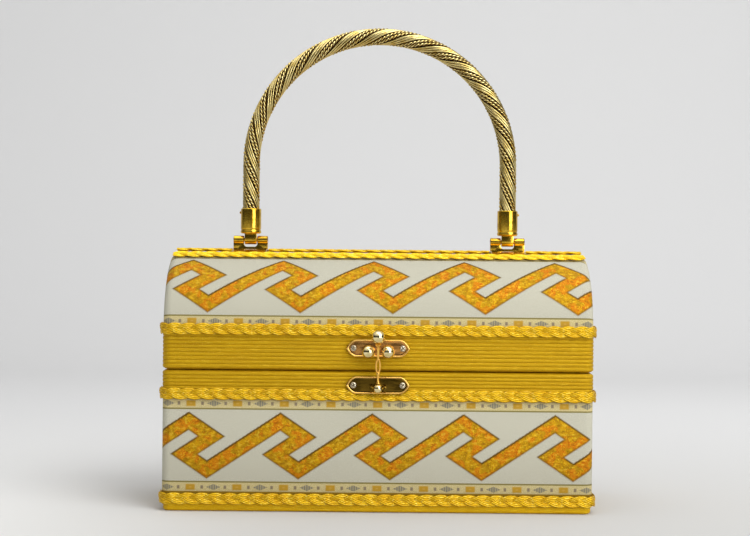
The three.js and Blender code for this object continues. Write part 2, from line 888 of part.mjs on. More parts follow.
// Fixed balls of the clasp, each with a short neck that stands on the plate
function claspBall(x) {
  const face = halfDepth + plateFace - claspRecess + seat;
  const profile = [[0, 0], [ballNeck, 0]];
  const start = Math.asin(ballNeck / ballRadius);
  const centre = ballStand + ballRadius * Math.cos(start);
  for (let k = 0; k <= ballSteps; k += 1) {
    const angle = start + ((Math.PI - start) * k) / ballSteps;
    profile.push([k === ballSteps ? 0 : ballRadius * Math.sin(angle), centre - ballRadius * Math.cos(angle)]);
  }
  const ball = turned(profile, 2 * ballSteps);
  ball.rotateX(Math.PI);
  return ball.translate(x, -face, ballZ);
}

const pivotY = -halfDepth - plateFace - leverPivotProud;
const leverPinLength = 2 * (footBallRadius + sideGap + earWidth);

// The lower plate also carries the two ears that the lever turns in
function lowerClasp() {
  const ears = [-1, 1].map((side) => {
    const x = side * (footBallRadius + sideGap + earWidth / 2);
    const root = -halfDepth - plateBase - claspThick / 2;
    const outline = [[root, leverPivotZ - earRadius], [root, leverPivotZ + earRadius]];
    for (let k = 0; k <= 6; k += 1) {
      const angle = rad(90 + (180 * k) / 6);
      outline.push([pivotY + earRadius * Math.cos(angle), leverPivotZ + earRadius * Math.sin(angle)]);
    }
    return extrudedX(outline, earWidth, x);
  });
  const bore = cylinderX(leverPinRadius + runningGap, 2 * leverPinLength, 8, 0, pivotY, leverPivotZ);
  return cut(join(claspPlate(lowerClaspZ), ...ears), bore);
}

// The lever: a foot ball bored for the pin, a bent wire with a long eye, and a ball on top

function leverPlace(geometry) {
  geometry.rotateX(rad(leverLean));
  return geometry.translate(0, pivotY, leverPivotZ);
}

function footBall() {
  const bore = leverPinRadius + runningGap;
  const start = Math.asin(bore / footBallRadius);
  const profile = [];
  for (let k = 0; k <= ballSteps; k += 1) {
    const angle = start + ((Math.PI - 2 * start) * k) / ballSteps;
    profile.push([footBallRadius * Math.sin(angle), -footBallRadius * Math.cos(angle)]);
  }
  profile.push(profile[0]);
  const ball = turned(profile, 2 * ballSteps);
  ball.rotateZ(Math.PI / 2);
  return leverPlace(ball);
}

const neckBottom = footBallRadius + seat;
const collarZ = leverReach - topBallRadius - collarHeight;

function leverStem() {
  const low = turned([
    [0, neckBottom], [neckRadius, neckBottom], [leverWire, neckBottom + 1.2],
    [leverWire, eyeBottom - 0.9], [1, eyeBottom - 0.4], [1, eyeBottom + 0.4], [0, eyeBottom + 0.4],
  ], 8);
  const high = turned([
    [0, eyeTop - 0.4], [leverWire, eyeTop - 0.4], [leverWire, collarZ],
    [collarRadius, collarZ + 0.75 * collarHeight], [collarRadius, collarZ + collarHeight - seat],
    [0, collarZ + collarHeight - seat],
  ], 8);
  const eye = [];
  const sides = 5;
  const loop = 10;
  for (let k = 0; k < loop; k += 1) {
    const angle = (2 * Math.PI * k) / loop;
    const centre = (eyeBottom + eyeTop) / 2;
    const span = (eyeTop - eyeBottom) / 2 - eyeHalf;
    const x = eyeHalf * Math.cos(angle);
    const z = centre + Math.sign(Math.sin(angle)) * span * Math.min(1, Math.abs(Math.sin(angle)) * 3)
      + eyeHalf * Math.sin(angle);
    const flat = Math.abs(Math.sin(angle)) < 0.4;
    const out = flat ? [Math.sign(Math.cos(angle)), 0] : [Math.cos(angle), Math.sin(angle)];
    eye.push(Array.from({ length: sides }, (_, i) => {
      const turn = (2 * Math.PI * i) / sides;
      const reach = leverWire * Math.cos(turn);
      return [x + out[0] * reach, leverWire * Math.sin(turn), z + out[1] * reach];
    }));
  }
  const upright = [low, high].map((part) => part.rotateX(Math.PI / 2));
  return leverPlace(join(...upright, loopRings(eye)));
}

function topBall() {
  const ball = new THREE.SphereGeometry(topBallRadius, 2 * ballSteps, ballSteps + 1);
  ball.rotateX(Math.PI / 2);
  return leverPlace(ball.translate(0, 0, leverReach));
}

// Hinges: two leaves on the back rims, knuckles side by side, and one pin through both

const hingeY = halfDepth + ribCrest + hingeProud;
const hingeZ = bodyHeight + lidGap / 2;
const leafY = halfDepth + plateBase;

function hingeLeaf(x, up) {
  const flip = ([y, z]) => [y, hingeZ + up * z];
  const share = hingeLength / 3;
  const leaf = box(hingeLength, leafThick, leafHeight, x, leafY + leafThick / 2,
    hingeZ + up * (leafStart + leafHeight / 2));
  const places = up > 0 ? [0] : [-share, share];
  const knuckles = places.flatMap((shift) => {
    const length = share - (up > 0 ? sideGap : 0);
    const neck = [
      [leafY, leafStart + 0.5],
      [leafY + leafThick, leafStart + 0.5],
      [hingeY + hingeKnuckle * 0.75, hingeKnuckle * 0.6],
      [hingeY - hingeKnuckle * 0.95, 0],
    ].map(flip);
    return [
      cylinderX(hingeKnuckle, length, 8, x + shift, hingeY, hingeZ),
      extrudedX(neck, length, x + shift),
    ];
  });
  const bore = cylinderX(hingePin + runningGap, hingeLength + 2, 6, x, hingeY, hingeZ);
  return cut(join(leaf, ...knuckles), bore);
}

const hingeScrews = [];
for (const x of [-hingeX, hingeX]) {
  for (const up of [-1, 1]) {
    for (const side of [-1, 1]) {
      const z = hingeZ + up * (leafStart + leafHeight / 2);
      hingeScrews.push([x + side * hingeScrewSpread, leafY + leafThick, z, leafThick + plateBase]);
    }
  }
}

const bodyScrews = [...claspScrews, ...hingeScrews].filter(([, , z]) => z < hingeZ);
const lidScrews = [...claspScrews, ...hingeScrews].filter(([, , z]) => z > hingeZ);
const mountPlaces = [-handleHalfSpan, handleHalfSpan];
const studHoles = mountPlaces.flatMap((x) => (
  studs(studRadius + seat, halfDepth - studDepth - seat, plateInner + 1, x)));

// The room that the lower clasp plate takes out of the upper braid
const claspRoom = claspBlock(-seat, 2 * braidThick + 2, 0, lowerClaspZ);

// The body
piece('body_shell', cut(bodyShell(), ...screwHoles(bodyScrews)), beechWood);
piece('body_lining', bodyLining(), liningCloth);
piece('base_cloth', baseCloth(), goldCloth);
piece('body_cloth', cut(bodyCloth(), ...screwHoles(bodyScrews)), goldCloth);
piece('body_ribbon', bodyRibbon(), brocade);
piece('body_lower_braid', bandPlait(lowerBraidBottom), goldBraid);
piece('body_upper_braid', cut(bandPlait(upperBraidBottom), claspRoom), goldBraid);
const clasps = screwHoles(claspScrews);
piece('clasp_lower_plate', cut(lowerClasp(), ...clasps), goldMetal);
piece('lever_pin', cylinderX(leverPinRadius, leverPinLength, 8, 0, pivotY, leverPivotZ), goldMetal);

// The lid
piece('lid_shell', cut(lidLayer(woodOuter, woodInner), ...screwHoles(lidScrews), ...studHoles), beechWood);
piece('lid_lining', lidLayer(liningOuter, liningInner), liningCloth);
piece('lid_cloth', cut(lidCloth(), ...screwHoles(lidScrews), ...studHoles), goldCloth);
piece('lid_ribbon_front', lidRibbon(), brocade);
piece('lid_ribbon_back', lidRibbon().rotateZ(Math.PI), brocade);
piece('lid_braid', bandPlait(lidBraidBottom), goldBraid);
piece('ridge_braid_front', ridgePlait(), goldBraid);
piece('ridge_braid_back', ridgePlait().rotateZ(Math.PI), goldBraid);
const besideMount = mountLength / 2 + seat;
piece('top_braid_left', topPlait(-braidEnd, -handleHalfSpan - besideMount), goldBraid);
piece('top_braid_middle', topPlait(besideMount - handleHalfSpan, handleHalfSpan - besideMount), goldBraid);
piece('top_braid_right', topPlait(handleHalfSpan + besideMount, braidEnd), goldBraid);
piece('clasp_upper_plate', cut(claspPlate(upperClaspZ), ...clasps), goldMetal);
piece('clasp_ball_left', claspBall(-ballSpread), goldMetal);
piece('clasp_ball_right', claspBall(ballSpread), goldMetal);

for (const [side, x] of [['left', -handleHalfSpan], ['right', handleHalfSpan]]) {
  piece(`mount_plate_${side}`, mountPlate(x), goldMetal);
  piece(`mount_pin_${side}`, cylinderX(pinRadius, mountLength, 10, x, 0, pivotZ), goldMetal);
  piece(`ferrule_${side}`, ferrule(x), goldMetal);
  piece(`ferrule_rivet_${side}`, ferruleRivet(x), goldMetal);
}

// The handle's rope
piece('rope_core', ropeCore(), goldWire);
for (let k = 0; k < strandPairs; k += 1) {
  const phase = (2 * Math.PI * k) / strandPairs;
  piece(`rope_smooth_${k + 1}`, strand(smoothSection, phase), goldWire);
  piece(`rope_twisted_${k + 1}`, strand(twistedSection, phase + Math.PI / strandPairs), goldWire);
}

// The lever
piece('lever_foot_ball', footBall(), goldMetal);
piece('lever_stem', leverStem(), goldMetal);
piece('lever_top_ball', topBall(), goldMetal);

// The hinges
for (const [side, x] of [['left', -hingeX], ['right', hingeX]]) {
  const near = screwHoles(hingeScrews.filter(([place]) => Math.sign(place) === Math.sign(x)));
  piece(`hinge_body_leaf_${side}`, cut(hingeLeaf(x, -1), ...near), goldMetal);
  piece(`hinge_lid_leaf_${side}`, cut(hingeLeaf(x, 1), ...near), goldMetal);
  piece(`hinge_pin_${side}`, cylinderX(hingePin, hingeLength, 8, x, hingeY, hingeZ), goldMetal);
}

// The screws
const levels = [['lower', 1], ['upper', 0]];
for (const [level, row] of levels) {
  ['left', 'right'].forEach((side, k) => {
    piece(`clasp_screw_${level}_${side}`, screwAt(...claspScrews[2 * row + k]), goldMetal);
  });
}
hingeScrews.forEach((place, k) => {
  const owner = place[2] < hingeZ ? 'body' : 'lid';
  const side = place[0] < 0 ? 'left' : 'right';
  piece(`hinge_screw_${owner}_${side}_${(k % 2) + 1}`, screwAt(...place), goldMetal);
});

export default group;
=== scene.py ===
import math

import bmesh
import bpy
from mathutils import Matrix, Vector


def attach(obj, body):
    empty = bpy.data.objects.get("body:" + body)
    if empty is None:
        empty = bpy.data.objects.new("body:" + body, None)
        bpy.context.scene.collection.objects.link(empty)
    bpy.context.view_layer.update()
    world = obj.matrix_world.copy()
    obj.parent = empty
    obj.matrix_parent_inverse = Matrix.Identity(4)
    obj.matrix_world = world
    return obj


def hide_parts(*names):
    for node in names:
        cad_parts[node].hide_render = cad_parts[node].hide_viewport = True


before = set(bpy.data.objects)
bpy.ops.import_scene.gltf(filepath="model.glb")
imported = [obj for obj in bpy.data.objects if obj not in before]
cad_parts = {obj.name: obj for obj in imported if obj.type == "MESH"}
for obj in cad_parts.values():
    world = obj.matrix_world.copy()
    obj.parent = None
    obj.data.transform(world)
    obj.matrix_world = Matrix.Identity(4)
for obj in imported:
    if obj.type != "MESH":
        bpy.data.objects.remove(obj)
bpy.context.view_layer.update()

# Sizes in millimetres, as the bag is made; the origin is the middle of the base
MM = 0.001
FULL_TURN = 2 * math.pi
# The room between two pieces that meet
SEAT = 0.3
# The box; a distance is measured outwards from the face of its cloth
HALF_WIDTH = 113.3
HALF_DEPTH = 41.0
CORNER = 4.0
FOOT = 3.4
BODY_HEIGHT = 74.4
LID_BOTTOM = 74.9
DOME_Z = 96.2
LID_WALL = DOME_Z - LID_BOTTOM
CLOTH = 0.6
BASE_TOP = 5.5
SEAM_ROLL = 0.75
LINING_OUTER = -5.2
LINING_INNER = -5.9
LINING_CORNER = 6.1
RIB_PITCH = 2.05
RIB_BASE = 0.5
RIB_CREST = 0.9
BODY_RIBS_BOTTOM = 62.05
LID_RIBS_TOP = 96.25
# The wave ribbon
RIBBON_SEAT = 0.25
RIBBON_OUTER = 0.65
RIBBON_WIDTH = 50.8
BODY_RIBBON_BOTTOM = 9.5
LID_RIBBON_START = 22.1
WAVE_HEIGHT = 35.3
WAVE_BAND = 8.1
WAVE_RISE = math.radians(33.5)
WAVE_FALL = math.radians(34.0)
WARP_PITCH = 0.5
WEFT_PITCH = 0.42
PATTERN_ROW = 0.45
# The braids
BRAID_WIDTH = 6.3
BRAID_BASE = 0.9
BRAID_THICK = 1.8
LOBE = 7.4
LOWER_BRAID_BOTTOM = 3.7
UPPER_BRAID_BOTTOM = 58.9
LID_BRAID_BOTTOM = 93.1
RIDGE_START = 66.6
RIDGE_WIDTH = 6.5
RIDGE_LOBE = 8.0
PLAIT_END = HALF_WIDTH - 1.0
BAND_STRAND = {"reach": 1.75, "lift": 0.36, "half_width": 1.46, "half_thick": 0.54}
RIDGE_STRAND = {"reach": 1.8, "lift": 0.3, "half_width": 1.55, "half_thick": 0.7}
# The handle and its mounts
HANDLE_HALF_SPAN = 71.3
PIVOT_Z = 144.1
FERRULE_FOOT = PIVOT_Z + 3.4
FERRULE_TOP = FERRULE_FOOT + 13.9
FERRULE_RADIUS = 5.75
LEG_TOP = 186.4
ROPE_FOOT = FERRULE_FOOT + 3.4 + SEAT
ROPE_LAY = 52.5
PAIR_LAY = 4.3
MOUNT_HALF = 9.5
MOUNT_TURN = math.radians(17)
KNUCKLE = 5.8
SADDLE_THICK = 1.15
SADDLE_INNER = HALF_DEPTH + RIBBON_OUTER + SEAT
SADDLE_OUTER = SADDLE_INNER + SADDLE_THICK
# The clasp and its lever
PLATE_BASE = 1.2
PLATE_THICK = 1.6
PLATE_FACE = PLATE_BASE + PLATE_THICK
CLASP_LENGTH = 33.8
CLASP_HEIGHT = 9.2
UPPER_CLASP_Z = 86.8
LOWER_CLASP_Z = 67.4
CLASP_SCREW_X = 12.9
BALL_RADIUS = 3.5
BALL_X = 5.1
BALL_Z = 85.1
LEVER_PIVOT = (0.0, -46.3, 65.9)
LEVER_LEAN = math.radians(12.5)
# The hinges
HINGE_X = 66.0
HINGE_Y = 43.9
HINGE_Z = 74.65
LEAF_WIDTH = 30.0
LEAF_HEIGHT = 6.6
LEAF_THICK = 0.8
LEAF_MIDDLE = 5.5


# Node trees


class Sum:
    """A number on a node's socket. Plain sums on it add Math nodes to its tree."""

    def __init__(self, bench, socket):
        self.bench = bench
        self.socket = socket

    def worked(self, operation, *values):
        return self.bench.node("ShaderNodeMath", {"operation": operation}, dict(enumerate(values)))

    def __add__(self, other):
        return self.worked("ADD", self, other)

    __radd__ = __add__

    def __sub__(self, other):
        return self.worked("SUBTRACT", self, other)

    def __rsub__(self, other):
        return self.worked("SUBTRACT", other, self)

    def __mul__(self, other):
        return self.worked("MULTIPLY", self, other)

    __rmul__ = __mul__

    def __truediv__(self, other):
        return self.worked("DIVIDE", self, other)

    def __mod__(self, other):
        return self.worked("FLOORED_MODULO", self, other)

    def __floordiv__(self, other):
        return self.worked("FLOOR", self / other)

    def __abs__(self):
        return self.worked("ABSOLUTE", self)

    def least(self, *others):
        total = self
        for other in others:
            total = self.worked("MINIMUM", total, other)
        return total

    def most(self, *others):
        total = self
        for other in others:
            total = self.worked("MAXIMUM", total, other)
        return total

    def sine(self):
        return self.worked("SINE", self)

    def cosine(self):
        return self.worked("COSINE", self)

    def step(self, low, high):
        """0 at low, 1 at high and smooth between; low may be the larger one."""
        settings = {"interpolation_type": "SMOOTHSTEP"}
        return self.bench.node("ShaderNodeMapRange", settings, {"Value": self, 1: low, 2: high}, "Result")

    def beside(self, out):
        """Another output of the same node."""
        return Sum(self.bench, self.socket.node.outputs[out])


class Bench:
    """A node tree, of a material, of the world or of Geometry Nodes."""

    def __init__(self, tree):
        self.tree = tree

    def node(self, kind, settings=None, sockets=None, out=0):
        node = self.tree.nodes.new(kind)
        for name, value in (settings or {}).items():
            setattr(node, name, value)
        for name, value in (sockets or {}).items():
            self.join(node.inputs[name], value)
        return Sum(self, node.outputs[out])

    def join(self, socket, value):
        if isinstance(value, Sum):
            self.tree.links.new(value.socket, socket)
        else:
            socket.default_value = value

    def split(self, vector):
        x = self.node("ShaderNodeSeparateXYZ", None, {0: vector})
        return x, x.beside(1), x.beside(2)

    def vector(self, x, y, z=0.0):
        return self.node("ShaderNodeCombineXYZ", None, {0: x, 1: y, 2: z})

    def blend(self, share, first, second):
        """The first colour where share is 0 and the second where it is 1."""
        return self.node("ShaderNodeMix", {"data_type": "RGBA"}, {0: share, 6: first, 7: second}, 2)

    def layered(self, color, *coats):
        """A colour under coats, each with the share that it covers and its own colour."""
        for share, coat in coats:
            color = self.blend(share, color, coat)
        return color


def tone(red, green, blue, gain=1.0):
    """A colour as seen on screen, 0 to 255, in the renderer's own scale and with full alpha."""
    seen = [value / 255 for value in (red, green, blue)]
    scaled = [v / 12.92 if v <= 0.04045 else ((v + 0.055) / 1.055) ** 2.4 for v in seen]
    return (*[min(1.0, gain * v) for v in scaled], 1.0)


class Finish(Bench):
    """A material with a Principled shader. What is the same all over is set on the socket itself."""

    def __init__(self, name, **constants):
        self.material = bpy.data.materials.new(name)
        self.material.use_nodes = True
        super().__init__(self.material.node_tree)
        self.shader = self.tree.nodes["Principled BSDF"]
        self.feed(**constants)

    def feed(self, **sockets):
        for name, value in sockets.items():
            self.join(self.shader.inputs[name.replace("_", " ")], value)

    def place(self):
        """Where a point is on its piece, in millimetres: x, y, z."""
        return [share / MM for share in self.split(self.node("ShaderNodeTexCoord", out="Object"))]

    def laid(self):
        """Where a point is on its cloth, in millimetres: along and across."""
        return self.split(self.node("ShaderNodeUVMap", {"uv_map": "laid"}))[:2]

    def noise(self, detail, x, y, z=0.0):
        sockets = {"Vector": self.vector(x, y, z), "Scale": 1.0, "Detail": detail}
        return self.node("ShaderNodeTexNoise", None, sockets, "Fac")

    def relief(self, height, depth, strength=1.0):
        """A bump of that depth in millimetres from a height of 0 to 1."""
        sockets = {"Height": height, "Distance": depth * MM, "Strength": strength}
        self.feed(Normal=self.node("ShaderNodeBump", None, sockets, "Normal"))


# Finishes


def rounded(value, pitch):
    """Humps side by side, 0 in the grooves and 1 on the crests."""
    return abs((value * (math.pi / pitch)).sine())


def ribbed_cloth(name, gain=1.0):
    """Gold cloth: cords under a fine metallic weft."""
    made = Finish(name, Metallic=0.5, Specular_IOR_Level=0.25)
    along, across = made.laid()
    fine = rounded(across, RIB_PITCH / 4)
    weft = rounded(along, WEFT_PITCH)
    speckle = made.noise(3.0, along * 1.7, across * 1.2)
    cloud = made.noise(2.0, along * 0.03, across * 0.12)
    streak = made.noise(2.0, along * 0.035, across * 1.3)
    glint = made.noise(2.0, along * 0.16, across * 2.4)
    color = made.layered(
        made.blend(fine.step(0.1, 0.7), tone(174, 131, 0, gain), tone(204, 163, 8, gain)),
        (streak.step(0.46, 0.62) * 0.35, tone(164, 120, 0, gain)),
        (glint.step(0.54, 0.7) * 0.4, tone(238, 201, 52, gain)),
        (speckle.step(0.56, 0.78) * 0.5, tone(242, 211, 84, gain)),
        (cloud.step(0.35, 0.8) * 0.3, tone(180, 143, 6, gain)))
    made.feed(Base_Color=color, Roughness=0.4 + 0.25 * speckle)
    made.relief(weft * 0.2 + fine * 0.3 + speckle * 0.2, 0.25)
    return made.material


def wave_distance(along, across, repeat, apex):
    """How far inside the running wave a point is: over 0 on its band, under 0 on the ground.

    Climb is measured square to the rising strokes and fall square to the falling ones, a repeat at a time."""
    climb_pitch = repeat * math.sin(WAVE_RISE)
    fall_pitch = repeat * math.sin(WAVE_FALL)
    slot = (climb_pitch - 2 * WAVE_BAND) / 2
    high = WAVE_BAND + slot
    x = along - apex
    y = across - (RIBBON_WIDTH + WAVE_HEIGHT) / 2
    rising = x * math.sin(WAVE_RISE) - y * math.cos(WAVE_RISE)
    falling = x * -math.sin(WAVE_FALL) - y * math.cos(WAVE_FALL)
    turn = rising // climb_pitch
    climb = rising - turn * climb_pitch
    fall = falling + turn * fall_pitch
    low_x = 2 * (1.5 * WAVE_BAND + slot - WAVE_HEIGHT / 2 * math.cos(WAVE_RISE)) / math.sin(WAVE_RISE)
    last = WAVE_HEIGHT * math.cos(WAVE_FALL) - low_x * math.sin(WAVE_FALL)
    first = last - WAVE_BAND
    stroke = (WAVE_BAND - climb).least(climb, fall, last + fall_pitch - fall)
    drop = fall.least(WAVE_BAND - fall, high + WAVE_BAND - climb, climb)
    back = (climb - high).least(high + WAVE_BAND - climb, fall, last - fall)
    foot = (fall - first).least(last - fall, climb - high)
    rest = (WAVE_BAND - climb).least(fall - first - fall_pitch, last + fall_pitch - fall)
    return stroke.most(drop, back, foot, rest)


def strip_of_motifs(made, along, edge, grain):
    """The narrow strip beside the wave, with blocks, dots and lozenges: its colour and where they are."""
    repeat, block_at, lozenge_at, middle = 24.6, 4.0, 16.2, 3.35
    spot = (along + block_at) % repeat
    height = abs(edge - middle)
    lozenge_spot = abs(spot - lozenge_at)
    block = (2.9 - abs(spot - block_at)).step(0.0, 0.9) * (1.95 - height).step(0.0, 0.8)
    eye = (1.0 - abs(spot - block_at)).step(0.0, 0.6) * (0.55 - height).step(0.0, 0.3)
    dots = (0.95 - abs(lozenge_spot - 6.1)).step(0.0, 0.5) * (1.15 - height).step(0.0, 0.5)
    lozenge = (4.3 - lozenge_spot - height * 2.4).step(0.0, 0.8)
    ticks = rounded(along, 1.25).step(0.35, 0.7)
    color = made.layered(
        made.blend(grain.step(0.35, 0.7), tone(182, 166, 108), tone(208, 194, 150)),
        (block * 0.95, tone(180, 138, 26)),
        (eye * 0.3, tone(210, 170, 90)),
        (dots * 0.8, tone(112, 98, 86)),
        (lozenge * (0.45 + 0.5 * ticks), tone(124, 120, 104)))
    return color, block.most(dots, lozenge * ticks)


def wave_ribbon(name, repeat, apex):
    """Brocade: a jacquard wave on a pale ground between two narrow strips."""
    made = Finish(name, Specular_IOR_Level=0.25)
    along, across = made.laid()
    # The pattern's edges step from thread to thread
    column = (along // WARP_PITCH + 0.5) * WARP_PITCH
    row = (across // PATTERN_ROW + 0.5) * PATTERN_ROW
    inside = wave_distance(column, row, repeat, apex)
    above = wave_distance(column, row + 1.2, repeat, apex)
    edge = RIBBON_WIDTH / 2 - abs(across - RIBBON_WIDTH / 2)
    warp = made.noise(2.0, along * 0.4, across * 0.4)
    thread = rounded(along + across * 0.5, WARP_PITCH)
    weft = rounded(across, WEFT_PITCH)
    grain = made.noise(3.0, along * 2.6, across * 2.2)
    ground = made.layered(
        made.blend(grain.step(0.3, 0.75), tone(171, 168, 149), tone(199, 196, 180)),
        (warp.step(0.45, 0.7) * 0.4, tone(182, 178, 160)))
    # The band's own weave: scrolls and patches in orange, yellow gold and olive, dark at its outline and with
    # painted shade along its upper edge
    patch = made.noise(1.0, along * 0.16, across * 0.16)
    drift = made.noise(1.0, along * 0.3 + 40, across * 0.3)
    ring = rounded(made.noise(0.5, along * 0.3, across * 0.36), 0.085)
    spark = made.noise(1.5, along * 0.42, across * 0.6)
    band = made.layered(
        made.blend(drift.step(0.44, 0.56), tone(196, 150, 0), tone(166, 128, 0)),
        (patch.step(0.47, 0.56) * 0.9, tone(208, 114, 0)),
        (ring.step(0.7, 0.3) * 0.55, tone(178, 96, 0)),
        (ring.step(0.84, 0.99) * 0.7, tone(216, 176, 22)),
        (spark.step(0.54, 0.68) * 0.5, tone(226, 188, 50)),
        ((1 - spark).step(0.54, 0.68) * 0.5, tone(140, 90, 0)),
        ((1.4 - inside).step(0.0, 1.1) * 0.7, tone(122, 90, 8)),
        # Painted shade: the band is darker along its upper edge
        ((0.2 - above).step(0.0, 0.9) * 0.85, tone(98, 72, 10)))
    # A thin line parts the ground from each strip, and the selvedge is a dark gold-brown, partly its own gold
    # and partly painted shade beside the braids
    line = (0.55 - abs(edge - 6.1)).step(0.0, 0.2)
    strip = edge.step(5.9, 5.6) * edge.step(0.9, 1.2)
    strip_color, motifs = strip_of_motifs(made, along, edge, grain)
    color = made.layered(
        ground,
        (inside.step(-0.3, 0.3), band),
        (line * 0.9, tone(118, 106, 36)),
        (strip, strip_color),
        # The selvedge's gold-brown is partly painted shade from the braids beside it
        (edge.step(1.3, 1.0), tone(146, 116, 26)))
    sunk = inside.step(-0.5, 0.5)
    made.feed(Base_Color=color, Roughness=0.75 - 0.2 * sunk, Metallic=0.55 * sunk)
    weave = thread * 0.06 + weft * 0.08 + grain * 0.1 + ring * sunk * 0.2
    made.relief(sunk * 0.3 + weave + motifs * strip * 0.15, 0.45)
    return made.material


def gold_yarn(name, gain=1.0):
    """Flattened strands of metallic yarn, each of several fine threads laid together."""
    made = Finish(name, Metallic=0.6, Specular_IOR_Level=0.3)
    along, across = made.laid()
    twist = rounded(along * 0.55 + across * 0.5, 0.5)
    threads = rounded(across + 0.44, 0.88)
    painted_glint = made.noise(2.0, along * 0.6, across * 1.5)
    drift = made.noise(1.0, along * 0.14, across * 0.5)
    color = made.layered(
        made.blend(threads.step(0.1, 0.75), tone(184, 138, 0, gain), tone(232, 188, 20, gain)),
        # Painted glints: bright pale flecks on the yarn
        (painted_glint.step(0.52, 0.66) * 0.6, tone(252, 228, 104, gain)),
        ((1 - painted_glint).step(0.54, 0.68) * 0.5, tone(176, 126, 0, gain)),
        (drift.step(0.46, 0.6) * 0.45, tone(198, 144, 0, gain)))
    made.feed(Base_Color=color, Roughness=0.28 + 0.25 * painted_glint)
    made.relief(threads * 0.7 + twist * 0.3 + painted_glint * 0.2, 0.3)
    return made.material


def polished_metal(name, light, deep, roughness):
    """Plated brass, a little rubbed, with fine marks and duller patches."""
    made = Finish(name, Metallic=1.0, Specular_IOR_Level=0.5)
    x, y, z = made.place()
    patch = made.noise(3.0, x * 0.35, y * 0.35, z * 0.35)
    marks = made.noise(2.0, x * 0.9, y * 6.0, z * 6.0)
    made.feed(Base_Color=made.blend(patch.step(0.3, 0.8), light, deep),
              Roughness=roughness + 0.14 * patch.step(0.45, 0.8) + 0.05 * marks)
    made.relief(marks * 0.5 + patch * 0.5, 0.03, 0.6)
    return made.material


def sunk_gold(name, *inner):
    """The clasp plates: a rim painted pale gold, and a sunk face painted brown with darker patches, a painted
    reflection of the dark room in front.
    """
    made = Finish(name, Metallic=1.0)
    x, y, z = made.place()
    front = HALF_DEPTH + PLATE_FACE
    out = y * -1
    rim = out.step(front - 0.44, front - 0.2) * out.step(front + 0.3, front + 0.15)
    face_patches = made.noise(2.0, x * 0.14, y * 0.5, z * 0.8)
    cloud = made.noise(3.0, x * 0.5, y * 0.5, z * 0.5)
    # Painted reflection: the sunk face's brown and its darker patches
    face = made.blend(face_patches.step(0.4, 0.62), tone(*inner), tone(*inner, 0.45))
    made.feed(Base_Color=made.blend(rim, face, tone(255, 204, 108)), Roughness=0.16 + 0.16 * cloud)
    made.relief(cloud * 0.5 + face_patches * 0.5, 0.03, 0.6)
    return made.material


def drawn_wire():
    """Gold wire, with painted shade on each wire's side towards the rope's middle and on the lower wire where
    a twisted pair crosses.
    """
    made = Finish("gold wire", Metallic=1.0)
    x, y, z = made.place()
    lift, rise = made.laid()
    patch = made.noise(3.0, x * 0.25, y * 0.25, z * 0.25)
    drawn = made.noise(2.0, x * 2.4, y * 2.4, z * 2.4)
    color = made.layered(
        made.blend(patch.step(0.35, 0.7), tone(234, 216, 150), tone(198, 172, 94)),
        (drawn.step(0.55, 0.75) * 0.4, tone(238, 224, 180)),
        # Painted shade where the wires lie low: on their inner sides and under each other
        ((lift + rise).step(0.62, 0.1), tone(112, 82, 28)))
    made.feed(Base_Color=color, Roughness=0.16 + 0.12 * drawn)
    made.relief(drawn, 0.03, 0.5)
    return made.material


def box_wood():
    made = Finish("box wood", Roughness=0.65)
    x, y, z = made.place()
    grain = made.noise(4.0, x * 0.02, y * 0.5, z * 0.5)
    pores = made.noise(2.0, x * 0.3, y * 5.0, z * 5.0)
    made.feed(Base_Color=made.layered(
        made.blend(grain.step(0.35, 0.65), tone(196, 156, 104), tone(168, 126, 78)),
        (pores.step(0.55, 0.75) * 0.5, tone(140, 100, 58))))
    made.relief(grain * 0.4 + pores * 0.6, 0.12)
    return made.material


def lining_satin():
    made = Finish("lining satin", Sheen_Weight=0.2, Specular_IOR_Level=0.4)
    x, y, z = made.place()
    threads = rounded(x + y, 0.3) * 0.5 + rounded(z, 0.3) * 0.5
    folds = made.noise(2.0, x * 0.05, y * 0.09, z * 0.05)
    color = made.blend(folds.step(0.3, 0.7), tone(214, 192, 136), tone(205, 181, 122))
    made.feed(Base_Color=color, Roughness=0.42 + 0.2 * folds)
    made.relief(threads * 0.15 + folds * 0.5, 0.3)
    return made.material


def plain_backdrop():
    """Grey paper with painted light and shade: paler on the left of its near part, where the lamps light it
    less, and darker on its near right.
    """
    made = Finish("grey paper", Roughness=0.9, Specular_IOR_Level=0.1)
    x, y, _ = made.place()
    # Painted light: the near paper is paler on the left and darker on the right
    near = made.blend((x + 260).step(0, 240), tone(228, 228, 226), tone(193, 193, 191))
    far = made.blend((x + 500).step(0, 1100), tone(229, 229, 229), tone(231, 231, 231))
    made.feed(Base_Color=made.blend((y + 300).step(0, 900), near, far))
    return made.material


CLOTH_GOLD = ribbed_cloth("ribbed gold cloth")
# Painted light: the base is the same cloth painted brighter, standing in for light on its rounded foot, which
# faces down
BRIGHTENED_BASE_GOLD = ribbed_cloth("base gold cloth", gain=1.4)
BODY_WAVE = wave_ribbon("wave ribbon of the body", repeat=48.3, apex=-2.9)
LID_WAVE = wave_ribbon("wave ribbon of the lid", repeat=48.9, apex=-2.7)
YARN = gold_yarn("gold braid yarn")
# Painted light: the ridge and top plaits use the same yarn painted brighter, for plaits that lie at a grazing
# angle to the lamps
BRIGHTENED_RIDGE_YARN = gold_yarn("ridge braid yarn", gain=1.4)
BRIGHT_GOLD = polished_metal("bright gold", tone(232, 190, 66), tone(184, 140, 36), 0.13)
PALE_GOLD = polished_metal("pale gold balls", tone(240, 226, 176), tone(228, 206, 142), 0.07)
LEVER_GOLD = polished_metal("lever gold", tone(255, 206, 104), tone(240, 186, 84), 0.3)
NICKEL = polished_metal("nickel screws", tone(190, 180, 158), tone(160, 148, 122), 0.22)
